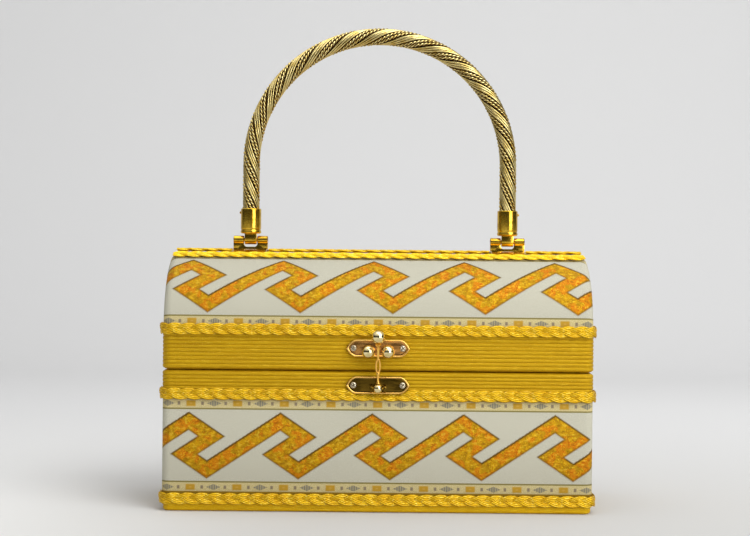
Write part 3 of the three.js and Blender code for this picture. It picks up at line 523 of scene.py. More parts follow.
# The two plates are one metal; their sunk faces are painted brown as painted reflection of the dark room, the
# lower one darker
UPPER_PLATE = sunk_gold("upper clasp gold", 232, 168, 92)
LOWER_PLATE = sunk_gold("lower clasp gold", 116, 90, 30)
WIRE = drawn_wire()
WOOD = box_wood()
SATIN = lining_satin()
SLOTS = {
    "ribbed_cloth": (CLOTH_GOLD, BRIGHTENED_BASE_GOLD),
    "wave_ribbon": (BODY_WAVE, LID_WAVE),
    "gold_braid": (YARN, BRIGHTENED_RIDGE_YARN),
    "gold_metal": (BRIGHT_GOLD, PALE_GOLD, LEVER_GOLD, NICKEL, UPPER_PLATE, LOWER_PLATE),
    "gold_wire": (WIRE,),
    "lining_cloth": (SATIN,),
}


# Meshes

FACING_FRONT = Matrix.Rotation(math.pi / 2, 4, "X")
ALONG_X = Matrix.Rotation(math.pi / 2, 4, "Y")
TURNED_BACK = Matrix.Rotation(math.pi, 4, "Z")


def finished(name, mesh, body, material, nodes, smooth=40):
    """A piece in place of the named nodes, riding on its body."""
    piece = bpy.data.objects.new(name, mesh)
    bpy.context.collection.objects.link(piece)
    mesh.materials.clear()
    mesh.materials.append(material)
    for face in mesh.polygons:
        face.use_smooth = True
        face.material_index = 0
    mesh.set_sharp_from_angle(angle=math.radians(smooth))
    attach(piece, body)
    next(slot for slot, materials in SLOTS.items() if material in materials)
    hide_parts(*nodes)


def mesh_from(work, name):
    mesh = bpy.data.meshes.new(name)
    work.to_mesh(mesh)
    work.free()
    return mesh


def skin(rings, laid=None, wrap=True, loop=False, caps=None):
    """A mesh in millimetres through rings of points.

    wrap closes each ring and loop joins the last ring to the first. caps closes the two end rings, "flat"
    with one face and "strip" with a row of faces between a ring's two halves. laid gives a point's place on
    the cloth, from its ring's number and its own."""
    work = bmesh.new()
    layer = work.loops.layers.uv.new("laid")
    grid = [[work.verts.new(Vector(point) * MM) for point in ring] for ring in rings]
    count = len(rings[0])

    def four_sided(corners):
        face = work.faces.new([grid[k % len(grid)][i % count] for k, i in corners])
        if laid:
            for corner, (k, i) in zip(face.loops, corners):
                corner[layer].uv = laid(k, i)

    for k in range(len(rings) if loop else len(rings) - 1):
        for i in range(count if wrap else count - 1):
            four_sided([(k, i), (k, i + 1), (k + 1, i + 1), (k + 1, i)])
    for end in (0, len(rings) - 1):
        if caps == "flat":
            work.faces.new(grid[end])
        elif caps == "strip":
            for i in range(count // 2 - 1):
                four_sided([(end, i), (end, i + 1), (end, -2 - i), (end, -1 - i)])
    bmesh.ops.remove_doubles(work, verts=work.verts, dist=1e-7)
    bmesh.ops.recalc_face_normals(work, faces=work.faces)
    return mesh_from(work, "skin")


def joined(*meshes):
    work = bmesh.new()
    for mesh in meshes:
        work.from_mesh(mesh)
    return mesh_from(work, "joined")


def shifted(mesh, matrix):
    mesh.transform(matrix)
    return mesh


def at(x, y, z):
    return Matrix.Translation(Vector((x, y, z)) * MM)


def arc(x, y, radius, start, stop, steps):
    """Points on a round stretch between two angles in degrees."""
    turns = [math.radians(start + (stop - start) * k / steps) for k in range(steps + 1)]
    return [(x + radius * math.cos(turn), y + radius * math.sin(turn)) for turn in turns]


def lathed(profile, sides=32):
    """A turned piece along Z from radius and height pairs, which end on the axis or where they began."""
    closed = profile[0] == profile[-1]
    spots = profile[:-1] if closed else profile
    turns = [FULL_TURN * k / sides for k in range(sides)]
    rings = [[(width * math.cos(t), width * math.sin(t), height) for width, height in spots] for t in turns]
    return skin(rings, wrap=closed, loop=True)


def pin(x, y, z, radius, length, tip, bevel, sides=20):
    """A round pin along X with blunted ends, its middle at the point."""
    half = [(0.0, 0.0), (tip, 0.05), (radius, bevel)]
    profile = [*half, *[(width, length - height) for width, height in reversed(half)]]
    return shifted(lathed(profile, sides), at(x - length / 2, y, z) @ ALONG_X)


def barrel(x, y, z, length, rows, sides):
    """A hollow knuckle along X from its left end. rows are radius and depth pairs of one end, bore first."""
    profile = [*rows, *[(radius, length - depth) for radius, depth in reversed(rows)], rows[0]]
    return shifted(lathed(profile, sides), at(x, y, z) @ ALONG_X)


def tube(path, radii, closed=False, sides=12):
    """A round wire through points in the plane y = 0."""
    points = [Vector(point) for point in path]
    depthwise = Vector((0.0, 1.0, 0.0))
    turns = [FULL_TURN * k / sides for k in range(sides)]
    rings = []
    for k, (point, radius) in enumerate(zip(points, radii)):
        before = points[k - 1] if closed or k > 0 else point
        after = points[(k + 1) % len(points)] if closed or k + 1 < len(points) else point
        side = (after - before).normalized().cross(depthwise)
        rings.append([point + (side * math.cos(t) + depthwise * math.sin(t)) * radius for t in turns])
    return skin(rings, loop=closed, caps=None if closed else "flat")


def prism(outline, depth, bevel):
    """An outline in X and Y given a thickness along Z, with its edges rounded over."""
    work = bmesh.new()
    bottom = work.faces.new([work.verts.new(Vector((x, y, 0.0)) * MM) for x, y in outline])
    made = bmesh.ops.extrude_face_region(work, geom=[bottom])
    moved = [vertex for vertex in made["geom"] if isinstance(vertex, bmesh.types.BMVert)]
    bmesh.ops.translate(work, verts=moved, vec=Vector((0.0, 0.0, depth)) * MM)
    bmesh.ops.recalc_face_normals(work, faces=work.faces)
    sharp = [edge for edge in work.edges if edge.calc_face_angle() > math.radians(40)]
    bmesh.ops.bevel(work, geom=sharp, offset=bevel * MM, segments=2, affect="EDGES", profile=0.6)
    return mesh_from(work, "prism")


# The box's cloths and ribbons


def plan(distance, inset=0.0, steps=6, corner=CORNER):
    """The rounded plan of the box from its back left corner, counter-clockwise seen from above.

    Each point has its x and y, its way outwards, and its distance along from the front's middle."""
    radius = corner + distance - inset
    span_x = HALF_WIDTH - corner
    span_y = HALF_DEPTH - corner
    bend = math.pi / 2 * radius
    length = -(span_x + 2 * bend + 2 * span_y)
    points = []
    for side_x, side_y, start, run in (
        (-1, 1, 90, 2 * span_y), (-1, -1, 180, 2 * span_x), (1, -1, 270, 2 * span_y), (1, 1, 0, 2 * span_x)):
        for k in range(steps + 1):
            turn = math.radians(start + 90 * k / steps)
            out = (math.cos(turn), math.sin(turn))
            points.append((side_x * span_x + radius * out[0], side_y * span_y + radius * out[1], out,
                           length + bend * k / steps))
        length += bend + run
    return points, length


def level(distance, height, inset=0.0, corner=CORNER):
    """A ring of the plan at a height, and its height on the cloth."""
    return [(x, y, height) for x, y, *_ in plan(distance, inset, corner=corner)[0]], height


def domed(distance, turn, corner=CORNER):
    """A ring of the plan laid over the barrel top by a turn, and its height on the cloth."""
    c, s = math.cos(turn), math.sin(turn)
    ring = [(x, y * c, DOME_Z + abs(y) * s) for x, y, *_ in plan(distance, corner=corner)[0]]
    return ring, DOME_Z + HALF_DEPTH * turn


def dome(distance, corner=CORNER):
    """The barrel top's rings from its foot to its ridge."""
    return [domed(distance, math.pi / 2 * k / 24, corner) for k in range(25)]


def ribs(bottom, top):
    """Rings for the round ribs between two heights."""
    count = round((top - bottom) / RIB_PITCH)
    pitch = (top - bottom) / count
    rings = []
    for k in range(count):
        for share in (0.0, 0.08, 0.24, 0.5, 0.76, 0.92):
            swell = math.sin(math.pi * share) ** 0.5 if share else 0.0
            rings.append(level(RIB_BASE + (RIB_CREST - RIB_BASE) * swell, bottom + (k + share) * pitch))
    return [*rings, level(RIB_BASE, top)]


def rolled_edge(edge, up):
    """The cloth rolled inwards at the seam between the body and the lid."""
    return [level(0.1, edge + up * 0.5), level(-0.4, edge + up * 0.15), level(-0.9, edge)]


def foot(distance, steps=8):
    """The cloth turned under the base, from its flat underside to its wall."""
    radius = FOOT + distance
    rings = []
    for k in range(steps + 1):
        turn = math.pi / 2 * k / steps
        out = math.sin(turn) ** 0.5
        down = math.cos(turn) ** 0.36 if k < steps else 0.0
        rings.append(level(distance, -distance + radius * (1 - down), radius * (1 - out)))
    return rings


def cloth(rings, distance=0.0, start=0.0, **ends):
    """The skin through rings of the plan, with its place along and up the cloth."""
    points, total = plan(distance)
    lengths = [point[3] for point in points] + [total]
    heights = [height - start for _, height in rings]
    return skin([ring for ring, _ in rings], lambda k, i: (lengths[i], heights[k % len(rings)]), **ends)


def walls_follow_height(mesh):
    """On the lid's end walls the cloth's ribs keep level, so its place there is its height."""
    layer = mesh.uv_layers["laid"].data
    for face in mesh.polygons:
        if abs(face.normal.x) > 0.9:
            for corner in face.loop_indices:
                point = mesh.vertices[mesh.loops[corner].vertex_index].co / MM
                layer[corner].uv = (point.y, point.z)
    return mesh


base = [*foot(0.0), level(0.0, BASE_TOP), level(-CLOTH, BASE_TOP), *reversed(foot(-CLOTH))]
finished("base_cloth_turned_up", cloth(base, caps="flat"), "body", BRIGHTENED_BASE_GOLD, ["base_cloth"])

walls = [
    level(-CLOTH, BASE_TOP + SEAT), level(0.0, BASE_TOP + SEAT), level(0.0, BODY_RIBS_BOTTOM),
    *ribs(BODY_RIBS_BOTTOM, BODY_HEIGHT - SEAM_ROLL), *rolled_edge(BODY_HEIGHT, -1),
    level(LINING_INNER, BODY_HEIGHT), level(LINING_INNER, BODY_HEIGHT - CLOTH),
    level(-CLOTH, BODY_HEIGHT - CLOTH)]
finished("body_cloth_ribbed", cloth(walls, loop=True), "body", CLOTH_GOLD, ["body_cloth"])

lid = [
    *reversed(dome(0.0)), level(0.0, LID_RIBS_TOP),
    *reversed(ribs(LID_BOTTOM + SEAM_ROLL, LID_RIBS_TOP)), *rolled_edge(LID_BOTTOM, 1),
    level(LINING_INNER, LID_BOTTOM), level(LINING_INNER, LID_BOTTOM + CLOTH),
    level(-CLOTH, LID_BOTTOM + CLOTH), *dome(-CLOTH)]
finished("lid_cloth_ribbed", walls_follow_height(cloth(lid)), "lid", CLOTH_GOLD, ["lid_cloth"])

lining_bottom = LID_BOTTOM + CLOTH + SEAT
lining = [
    *reversed(dome(LINING_OUTER, LINING_CORNER)), level(LINING_OUTER, lining_bottom, corner=LINING_CORNER),
    level(LINING_INNER, lining_bottom, corner=LINING_CORNER), *dome(LINING_INNER, LINING_CORNER)]
finished("lid_lining_sewn", skin([ring for ring, _ in lining]), "lid", SATIN, ["lid_lining"])

ribbon_top = BODY_RIBBON_BOTTOM + RIBBON_WIDTH
ribbon = [
    level(RIBBON_SEAT, BODY_RIBBON_BOTTOM), level(RIBBON_OUTER - 0.1, BODY_RIBBON_BOTTOM),
    level(RIBBON_OUTER, BODY_RIBBON_BOTTOM + 0.15), level(RIBBON_OUTER, ribbon_top - 0.15),
    level(RIBBON_OUTER - 0.1, ribbon_top), level(RIBBON_SEAT, ribbon_top)]
finished("body_wave_ribbon", cloth(ribbon, RIBBON_OUTER, BODY_RIBBON_BOTTOM, loop=True), "body", BODY_WAVE,
         ["body_ribbon"])


def lid_strip():
    """The ribbon over the front of the lid, folded a little way round both ends."""
    start = (LID_RIBBON_START - LID_WALL) / HALF_DEPTH
    turns = [start + RIBBON_WIDTH / HALF_DEPTH * k / 28 for k in range(29)]

    def line(distance):
        """Each point's x, its distance out from the barrel's axis and its place along the ribbon."""
        radius = CORNER + distance
        spots = []
        for side, degrees in ((-1, range(90, -1, -15)), (1, range(0, 91, 15))):
            for bend in [math.radians(value) for value in degrees]:
                spots.append((side * (HALF_WIDTH - CORNER + radius * math.sin(bend)),
                              HALF_DEPTH - CORNER + radius * math.cos(bend),
                              side * (HALF_WIDTH - CORNER + radius * bend)))
        return spots

    around = [*line(RIBBON_OUTER), *reversed(line(RIBBON_SEAT))]
    rings = [[(x, -out * math.cos(turn), DOME_Z + out * math.sin(turn)) for x, out, _ in around]
             for turn in turns]
    lengths = [along for _, _, along in around]
    heights = [(turn - start) * HALF_DEPTH for turn in turns]
    return skin(rings, lambda k, i: (lengths[i % len(lengths)], heights[k]), caps="strip")


finished("lid_wave_ribbon_front", lid_strip(), "lid", LID_WAVE, ["lid_ribbon_front"])
finished("lid_wave_ribbon_back", shifted(lid_strip(), TURNED_BACK), "lid", LID_WAVE, ["lid_ribbon_back"])


# Geometry Nodes

NUMBER = "NodeSocketFloat"
COUNT = "NodeSocketInt"
MATERIAL = "NodeSocketMaterial"
PIECE = "NodeSocketObject"


class Pattern(Bench):
    """A Geometry Nodes tree with named inputs, each given with its kind."""

    def __init__(self, name, **inputs):
        super().__init__(bpy.data.node_groups.new(name, "GeometryNodeTree"))
        face = self.tree.interface
        for label, kind in {"Geometry": "NodeSocketGeometry", **inputs}.items():
            face.new_socket(label, in_out="INPUT", socket_type=kind)
        face.new_socket("Geometry", in_out="OUTPUT", socket_type="NodeSocketGeometry")
        self.source = self.tree.nodes.new("NodeGroupInput")

    def given(self, label):
        return Sum(self, self.source.outputs[label])

    def named(self, label):
        return self.node("GeometryNodeInputNamedAttribute", {"data_type": "FLOAT_VECTOR"}, {"Name": label})

    def offset(self, out, side):
        """A way outwards and across a path, each by its share."""
        ways = [
            self.node("ShaderNodeVectorMath", {"operation": "SCALE"}, {0: self.named(label), "Scale": share})
            for label, share in (("out", out), ("side", side))]
        return self.node("ShaderNodeVectorMath", {"operation": "ADD"}, dict(enumerate(ways)))

    def moved(self, geometry, **sockets):
        return self.node("GeometryNodeSetPosition", None, {"Geometry": geometry, **sockets})

    def stored(self, geometry, label, value):
        settings = {"data_type": "FLOAT", "domain": "POINT"}
        sockets = {"Geometry": geometry, "Name": label, "Value": value}
        return self.node("GeometryNodeStoreNamedAttribute", settings, sockets)

    def strands(self, amount):
        """The path as a curve, resampled and copied. Each copy's number is the output Duplicate Index."""
        path = self.node("GeometryNodeMeshToCurve", None, {"Mesh": self.given("Geometry")})
        sockets = {"Curve": path, "Length": self.given("Step")}
        path = self.node("GeometryNodeResampleCurve", {"mode": "LENGTH"}, sockets)
        sockets = {"Geometry": path, "Amount": amount}
        return self.node("GeometryNodeDuplicateElements", {"domain": "SPLINE"}, sockets)

    def circle(self, sides, radius):
        sockets = {"Resolution": sides, "Radius": radius}
        return self.node("GeometryNodeCurvePrimitiveCircle", {"mode": "RADIUS"}, sockets)

    def swept(self, strands, offset, outward, along, ring):
        """The strands moved, faced outwards and given a ring's thickness."""
        sockets = {"Curve": self.moved(strands, Offset=offset), "Normal": outward}
        facing = self.node("GeometryNodeSetCurveNormal", {"mode": "FREE"}, sockets)
        facing = self.stored(facing, "along", along)
        sockets = {"Curve": facing, "Profile Curve": ring, "Fill Caps": True}
        return self.close(self.node("GeometryNodeCurveToMesh", None, sockets))

    def close(self, geometry):
        """Every tree ends in Realize Instances and Set Material."""
        solid = self.node("GeometryNodeRealizeInstances", None, {"Geometry": geometry})
        sockets = {"Geometry": solid, "Material": self.given("Material")}
        last = self.node("GeometryNodeSetMaterial", None, sockets)
        self.join(self.tree.nodes.new("NodeGroupOutput").inputs[0], last)
        return self

    def run(self, mesh, **values):
        """The plain mesh that the tree makes from a mesh of points or lines."""
        carrier = bpy.data.objects.new("carrier", mesh)
        bpy.context.collection.objects.link(carrier)
        modifier = carrier.modifiers.new("pattern", "NODES")
        modifier.node_group = self.tree
        for item in self.tree.interface.items_tree:
            if item.in_out == "INPUT" and item.name in values:
                modifier[item.identifier] = values[item.name]
        seen = carrier.evaluated_get(bpy.context.evaluated_depsgraph_get())
        made = bpy.data.meshes.new_from_object(seen)
        carrier.modifiers.remove(modifier)
        bpy.data.objects.remove(carrier)
        return made


def path_mesh(points, outs, sides, closed=False):
    """Points joined in a line, each with its way outwards and its way across."""
    mesh = bpy.data.meshes.new("path")
    edges = [(k, k + 1) for k in range(len(points) - 1)] + ([(len(points) - 1, 0)] if closed else [])
    mesh.from_pydata([Vector(point) * MM for point in points], edges, [])
    for label, vectors in (("out", outs), ("side", sides)):
        layer = mesh.attributes.new(label, "FLOAT_VECTOR", "POINT")
        for spot, vector in zip(layer.data, vectors):
            spot.vector = vector
    return mesh


def plait_pattern():
    """Three flattened strands crossing over and under each other along a path."""
    made = Pattern(
        "flat plait", Step=NUMBER, Waves=NUMBER, Reach=NUMBER, Lift=NUMBER, Strand_Half_Width=NUMBER,
        Strand_Half_Thick=NUMBER, Cords=NUMBER, Material=MATERIAL)
    strands = made.strands(3)
    place = made.node("GeometryNodeSplineParameter")
    turn = place * made.given("Waves") * FULL_TURN + strands.beside("Duplicate Index") * (FULL_TURN / 3)
    offset = made.offset((turn * 2).sine() * made.given("Lift"), turn.sine() * made.given("Reach"))
    flat, thick, _ = made.split(made.node("GeometryNodeInputPosition"))
    groove = ((flat + 1) * math.pi * made.given("Cords")).cosine() * 0.5 + 0.5
    width = flat * made.given("Strand_Half_Width")
    # The circle's two ways change places here, and the minus sign keeps the strand's faces outwards
    shape = made.vector(thick * (groove * 0.34 - 1) * made.given("Strand_Half_Thick"), width)
    ring = made.moved(made.stored(made.circle(20, 1.0), "around", width / MM), Position=shape)
    return made.swept(strands, offset, made.named("out"), place.beside("Length") / MM, ring)


def wire_pattern():
    """Bundles of wires laid round a path, each bundle flat or twisted in itself."""
    made = Pattern(
        "laid wires", Step=NUMBER, Lays=NUMBER, Radius=NUMBER, First=NUMBER, Bundles=COUNT, Wires=COUNT,
        Spread=NUMBER, Ply=NUMBER, Ply_Turns=NUMBER, Wire_Radius=NUMBER, Sides=COUNT, Material=MATERIAL)
    wires = made.given("Wires")
    strands = made.strands(made.given("Bundles") * wires)
    index = strands.beside("Duplicate Index")
    bundle = index // wires
    wire = index - bundle * wires
    place = made.node("GeometryNodeSplineParameter")
    turn = (made.given("First") + bundle * FULL_TURN / made.given("Bundles")
            + (wire - (wires - 1) * 0.5) * made.given("Spread") + place * made.given("Lays") * FULL_TURN)
    twist = place * made.given("Ply_Turns") * FULL_TURN + wire * FULL_TURN / wires
    lift = twist.cosine() * made.given("Ply")
    aside = twist.sine() * made.given("Ply")
    radius = made.given("Radius") + lift
    c, s = turn.cosine(), turn.sine()
    ring = made.circle(made.given("Sides"), made.given("Wire_Radius"))
    ring = made.stored(ring, "around", made.split(made.node("GeometryNodeInputPosition"))[0] / MM)
    return made.swept(strands, made.offset(c * radius - s * aside, s * radius + c * aside), made.offset(c, s),
                      lift / MM, ring)


def set_on_points():
    """The same small piece set at each point, facing the way that the point is given."""
    made = Pattern("set on points", Piece=PIECE, Material=MATERIAL)
    piece = made.node("GeometryNodeObjectInfo", None, {"Object": made.given("Piece")}, "Geometry")
    turned = made.node("FunctionNodeAlignRotationToVector", {"axis": "Z"}, {"Vector": made.named("out")})
    turned = made.node(
        "FunctionNodeAlignRotationToVector", {"axis": "X", "pivot_axis": "Z"},
        {"Rotation": turned, "Vector": made.named("side"), "Factor": 1.0})
    return made.close(made.node("GeometryNodeInstanceOnPoints", None, {
        "Points": made.given("Geometry"), "Instance": piece, "Rotation": turned}))


PLAIT = plait_pattern()
WIRES = wire_pattern()
SET = set_on_points()


def laid_strands(pattern, path, **values):
    """A pattern's mesh, with the numbers that it stored along and around its strands as the laid place."""
    mesh = pattern.run(path, **values)
    along = mesh.attributes["along"].data
    around = mesh.attributes["around"].data
    layer = mesh.uv_layers.new(name="laid")
    for corner in mesh.loops:
        spot = corner.vertex_index
        layer.data[corner.index].uv = (along[spot].value, around[spot].value)
    for label in ("along", "around", "out", "side"):
        if label in mesh.attributes:
            mesh.attributes.remove(mesh.attributes[label])
    return mesh


# The braids


def plaited(path, waves, material, reach, lift, half_width, half_thick):
    return laid_strands(
        PLAIT, path, Step=1.1 * MM, Waves=waves, Reach=reach * MM, Lift=lift * MM, Cords=3.0,
        Strand_Half_Width=half_width * MM, Strand_Half_Thick=half_thick * MM, Material=material)


def band_plait(bottom):
    """A plait round all four walls; three lobes make one wave."""
    points, total = plan(BRAID_BASE + BRAID_THICK / 2, steps=10)
    line = [(x, y, bottom + BRAID_WIDTH / 2) for x, y, *_ in points]
    path = path_mesh(line, [(*out, 0.0) for _, _, out, _ in points], [(0.0, 0.0, 1.0)] * len(line), True)
    waves = float(round((total - points[0][3]) / (3 * LOBE)))
    return plaited(path, waves, YARN, **BAND_STRAND)


def pressed_behind_clasp(mesh):
    """The upper plait lies flat where the lower clasp plate is screwed over it."""
    for vertex in mesh.vertices:
        x, y, z = vertex.co / MM
        narrowing = 5.7 * min(1.0, abs(z - LOWER_CLASP_Z) / (CLASP_HEIGHT / 2)) ** 1.6
        beside = max(0.0, abs(x) - CLASP_LENGTH / 2 + narrowing)
        under = max(0.0, LOWER_CLASP_Z - CLASP_HEIGHT / 2 - z)
        high = -HALF_DEPTH - BRAID_BASE - y
        room = min(1.0, (0.2 + max(beside, under)) / BRAID_THICK)
        if y < 0 and high > 0:
            vertex.co.y = (-HALF_DEPTH - BRAID_BASE - high * room) * MM
    return mesh


def straight_plait(base, angle, start, end):
    """A plait along the barrel top at an angle from the front wall: a quarter turn at the ridge."""
    out = (0.0, -math.cos(angle), math.sin(angle))
    side = (0.0, math.sin(angle), math.cos(angle))
    reach = HALF_DEPTH + base + BRAID_THICK / 2
    line = [(x, out[1] * reach, DOME_Z + out[2] * reach) for x in (start + 0.5, (start + end) / 2, end - 0.5)]
    waves = (end - start - 1) / (3 * RIDGE_LOBE)
    return plaited(path_mesh(line, [out] * 3, [side] * 3), waves, BRIGHTENED_RIDGE_YARN, **RIDGE_STRAND)


upper_plait = pressed_behind_clasp(band_plait(UPPER_BRAID_BOTTOM))
finished("lower_plait", band_plait(LOWER_BRAID_BOTTOM), "body", YARN, ["body_lower_braid"], smooth=60)
finished("upper_plait", upper_plait, "body", YARN, ["body_upper_braid"], smooth=60)
finished("lid_plait", band_plait(LID_BRAID_BOTTOM), "lid", YARN, ["lid_braid"], smooth=60)

ridge_angle = (RIDGE_START + RIDGE_WIDTH / 2 - LID_WALL) / HALF_DEPTH
for label, way in (("front", Matrix.Identity(4)), ("back", TURNED_BACK)):
    plait = shifted(straight_plait(BRAID_BASE, ridge_angle, -PLAIT_END, PLAIT_END), way)
    finished(f"ridge_plait_{label}", plait, "lid", BRIGHTENED_RIDGE_YARN, [f"ridge_braid_{label}"], smooth=60)
beside_mount = MOUNT_HALF + SEAT
for label, start, end in (
    ("left", -PLAIT_END, -HANDLE_HALF_SPAN - beside_mount),
    ("middle", beside_mount - HANDLE_HALF_SPAN, HANDLE_HALF_SPAN - beside_mount),
    ("right", HANDLE_HALF_SPAN + beside_mount, PLAIT_END)):
    plait = straight_plait(SEAT, math.pi / 2, start, end)
    finished(f"top_plait_{label}", plait, "lid", BRIGHTENED_RIDGE_YARN, [f"top_braid_{label}"], smooth=60)


# The handle


def rope_path():
    """Up the left leg, over the half circle and down the right leg."""
    steps = 9
    left = [(-HANDLE_HALF_SPAN, 0.0, ROPE_FOOT + (LEG_TOP - ROPE_FOOT) * k / steps) for k in range(steps)]
    right = [(-x, y, z) for x, y, z in reversed(left)]
    over = [(x, 0.0, z) for x, z in arc(0.0, 0.0, 1.0, 180, 0, 72)]
    arch = [(HANDLE_HALF_SPAN * x, 0.0, LEG_TOP + HANDLE_HALF_SPAN * z) for x, _, z in over]
    outs = [(-1.0, 0.0, 0.0)] * steps + over + [(1.0, 0.0, 0.0)] * steps
    return path_mesh(left + arch + right, outs, [(0.0, 1.0, 0.0)] * len(outs))


rope_length = 2 * (LEG_TOP - ROPE_FOOT) + math.pi * HANDLE_HALF_SPAN


def laid_bundles(radius, wire_radius, **values):
    """Three bundles of wires round the rope, a third of a turn apart."""
    return laid_strands(WIRES, rope_path(), Lays=rope_length / ROPE_LAY, Bundles=3, Radius=radius * MM,
                        Wire_Radius=wire_radius * MM, Material=WIRE, **values)


smooth = laid_bundles(
    radius=4.02, wire_radius=0.62, First=0.0, Wires=3, Spread=0.315, Ply=0.0, Ply_Turns=0.0, Step=1.4 * MM,
    Sides=10)
twisted = joined(*[
    laid_bundles(
        radius=3.98, wire_radius=0.42, First=math.pi / 3 + aside, Wires=2, Spread=0.0, Ply=0.45 * MM,
        Ply_Turns=rope_length / PAIR_LAY, Step=0.4 * MM, Sides=8)
    for aside in (-0.23, 0.23)])
for label, wires in (("smooth", smooth), ("twisted", twisted)):
    nodes = [f"rope_{label}_{k}" for k in (1, 2, 3)]
    finished(f"rope_{label}_wires", wires, "handle", WIRE, nodes, smooth=60)


def ferrule(x):
    """The cup round the rope's end, with the tongue that turns on the mount's pin."""
    cup = lathed([
        (0.0, 0.0), (4.7, 0.0), (5.35, 0.15), (5.7, 0.55), (5.75, 1.05), (5.7, 1.5), (5.5, 1.85), (5.42, 2.2),
        (5.5, 2.5), (5.62, 2.8), (5.66, 3.1), (5.66, 13.1), (5.66, 13.4), (5.58, 13.75), (5.4, 13.9),
        (5.12, 13.85), (5.05, 13.6), (5.05, 3.4), (0.0, 3.4)], 48)
    half, width = 2.5, 6.6
    outline = [*arc(0.0, 0.0, half, 180, 360, 12), (half, 3.7), (-half, 3.7)]
    standing = Matrix.Rotation(math.pi / 2, 4, "Z") @ Matrix.Rotation(math.pi / 2, 4, "X")
    tongue = shifted(prism(outline, width, 0.35), at(x - width / 2, 0, PIVOT_Z) @ standing)
    return joined(shifted(cup, at(x, 0, FERRULE_FOOT)), tongue)


def rivet(x):
    side = math.copysign(1.0, x)
    head = lathed([(0.0, 0.0), (0.55, 0.0), (0.78, 0.12), (0.74, 0.4), (0.45, 0.68), (0.0, 0.8)], 20)
    outwards = Matrix.Rotation(side * math.pi / 2, 4, "Y")
    return shifted(head, at(x + side * (FERRULE_RADIUS - 0.1), 0, FERRULE_TOP - 2.2) @ outwards)


def mount(x):
    """A saddle plate with a web, a knuckle on each side and an open U between them."""
    long, thick, bevel = MOUNT_HALF, SADDLE_THICK, 0.25
    edge = [(-long, bevel), (bevel - long, 0.0), (long - bevel, 0.0), (long, bevel), (long, thick - bevel),
            (long - bevel, thick), (bevel - long, thick), (-long, thick - bevel)]
    rings = []
    for turn in [MOUNT_TURN * (k / 12 - 1) for k in range(25)]:
        c, s = math.cos(turn), math.sin(turn)
        spots = [(x + along, SADDLE_INNER + rise) for along, rise in edge]
        rings.append([(along, out * s, DOME_Z + out * c) for along, out in spots])
    gap, top, floor, fillet = long - KNUCKLE, PIVOT_Z - DOME_Z - SADDLE_OUTER, 1.0, 1.6
    notch = [(gap, top), *arc(gap - fillet, floor + fillet, fillet, 0, -90, 6)]
    mirrored = [(-a, b) for a, b in reversed(notch)]
    outline = [(-long, -0.6), (long, -0.6), (long, top), *notch, *mirrored, (-long, top)]
    web = shifted(prism(outline, 2.8, 0.2), at(x, 1.4, DOME_Z + SADDLE_OUTER) @ FACING_FRONT)
    rows = [(1.28, 0.2), (1.5, 0.0), (2.0, 0.0), (2.3, 0.35)]
    knuckles = [barrel(x + start, 0, PIVOT_Z, KNUCKLE, rows, 32) for start in (-long, gap)]
    return joined(skin(rings, caps="flat"), web, *knuckles)


for label, x in (("left", -HANDLE_HALF_SPAN), ("right", HANDLE_HALF_SPAN)):
    finished(f"ferrule_cup_{label}", ferrule(x), "handle", BRIGHT_GOLD, [f"ferrule_{label}"])
    finished(f"ferrule_dot_{label}", rivet(x), "handle", BRIGHT_GOLD, [f"ferrule_rivet_{label}"])
    finished(f"mount_saddle_{label}", mount(x), "lid", BRIGHT_GOLD, [f"mount_plate_{label}"], smooth=30)
    axle = pin(x, 0, PIVOT_Z, radius=1.0, length=2 * MOUNT_HALF, tip=0.8, bevel=0.3, sides=24)
    finished(f"mount_axle_{label}", axle, "lid", BRIGHT_GOLD, [f"mount_pin_{label}"])


# The clasp


def clasp_outline(inset, steps=8):
    """The plate's outline from its left point, with curved shoulders, as X and Z."""
    end = CLASP_LENGTH / 2 - inset * 1.5
    flat = CLASP_LENGTH / 2 - CLASP_HEIGHT * 0.62
    half = CLASP_HEIGHT / 2 - inset
    bend = flat + (end - flat) * 0.55

    def curve(a, b, c):
        for t in [k / steps for k in range(steps)]:
            yield tuple((1 - t) ** 2 * p + 2 * t * (1 - t) * q + t * t * r for p, q, r in zip(a, b, c))

    return [*curve((-end, 0), (-bend, -half), (-flat, -half)), *curve((flat, -half), (bend, -half), (end, 0)),
            *curve((end, 0), (bend, half), (flat, half)), *curve((-flat, half), (-bend, half), (-end, 0))]


def clasp_plate(z):
    """A plate with a round rim and a sunk face, from rows of inset and rise over its base."""
    rows = ((0.0, 0.0), (0.0, 1.15), (0.1, 1.42), (0.3, 1.58), (0.52, 1.6), (0.74, 1.5), (0.9, 1.3),
            (0.98, 1.12), (1.2, 1.08), (1.6, 1.1))
    return skin([[(x, -HALF_DEPTH - PLATE_BASE - out, z + rise) for x, rise in clasp_outline(inset)]
                 for inset, out in rows], caps="flat")


def ear(side):
    """One of the two ears beside the lever's foot ball."""
    base, half, thick = HALF_DEPTH + PLATE_BASE + 1.0, 1.9, 1.4
    outline = [(-1.6, -half), (-1.6, half), *arc(-LEVER_PIVOT[1] - base, 0.0, half, 90, -90, 12)]
    # The outline's X runs to the front, its Y upwards and its thickness to the left
    facing = Matrix(((0, 0, -1, 0), (-1, 0, 0, 0), (0, 1, 0, 0), (0, 0, 0, 1)))
    place = at(side * 3.6 + thick / 2, -base, LEVER_PIVOT[2])
    return shifted(prism(outline, thick, 0.2), place @ facing)


def ball_on_neck(radius, neck, stand):
    start = math.asin(neck / radius)
    middle = stand + radius * math.cos(start)
    return lathed([(0.0, 0.0), (neck, 0.0), *arc(0.0, middle, radius, math.degrees(start) - 90, 90, 20)], 40)


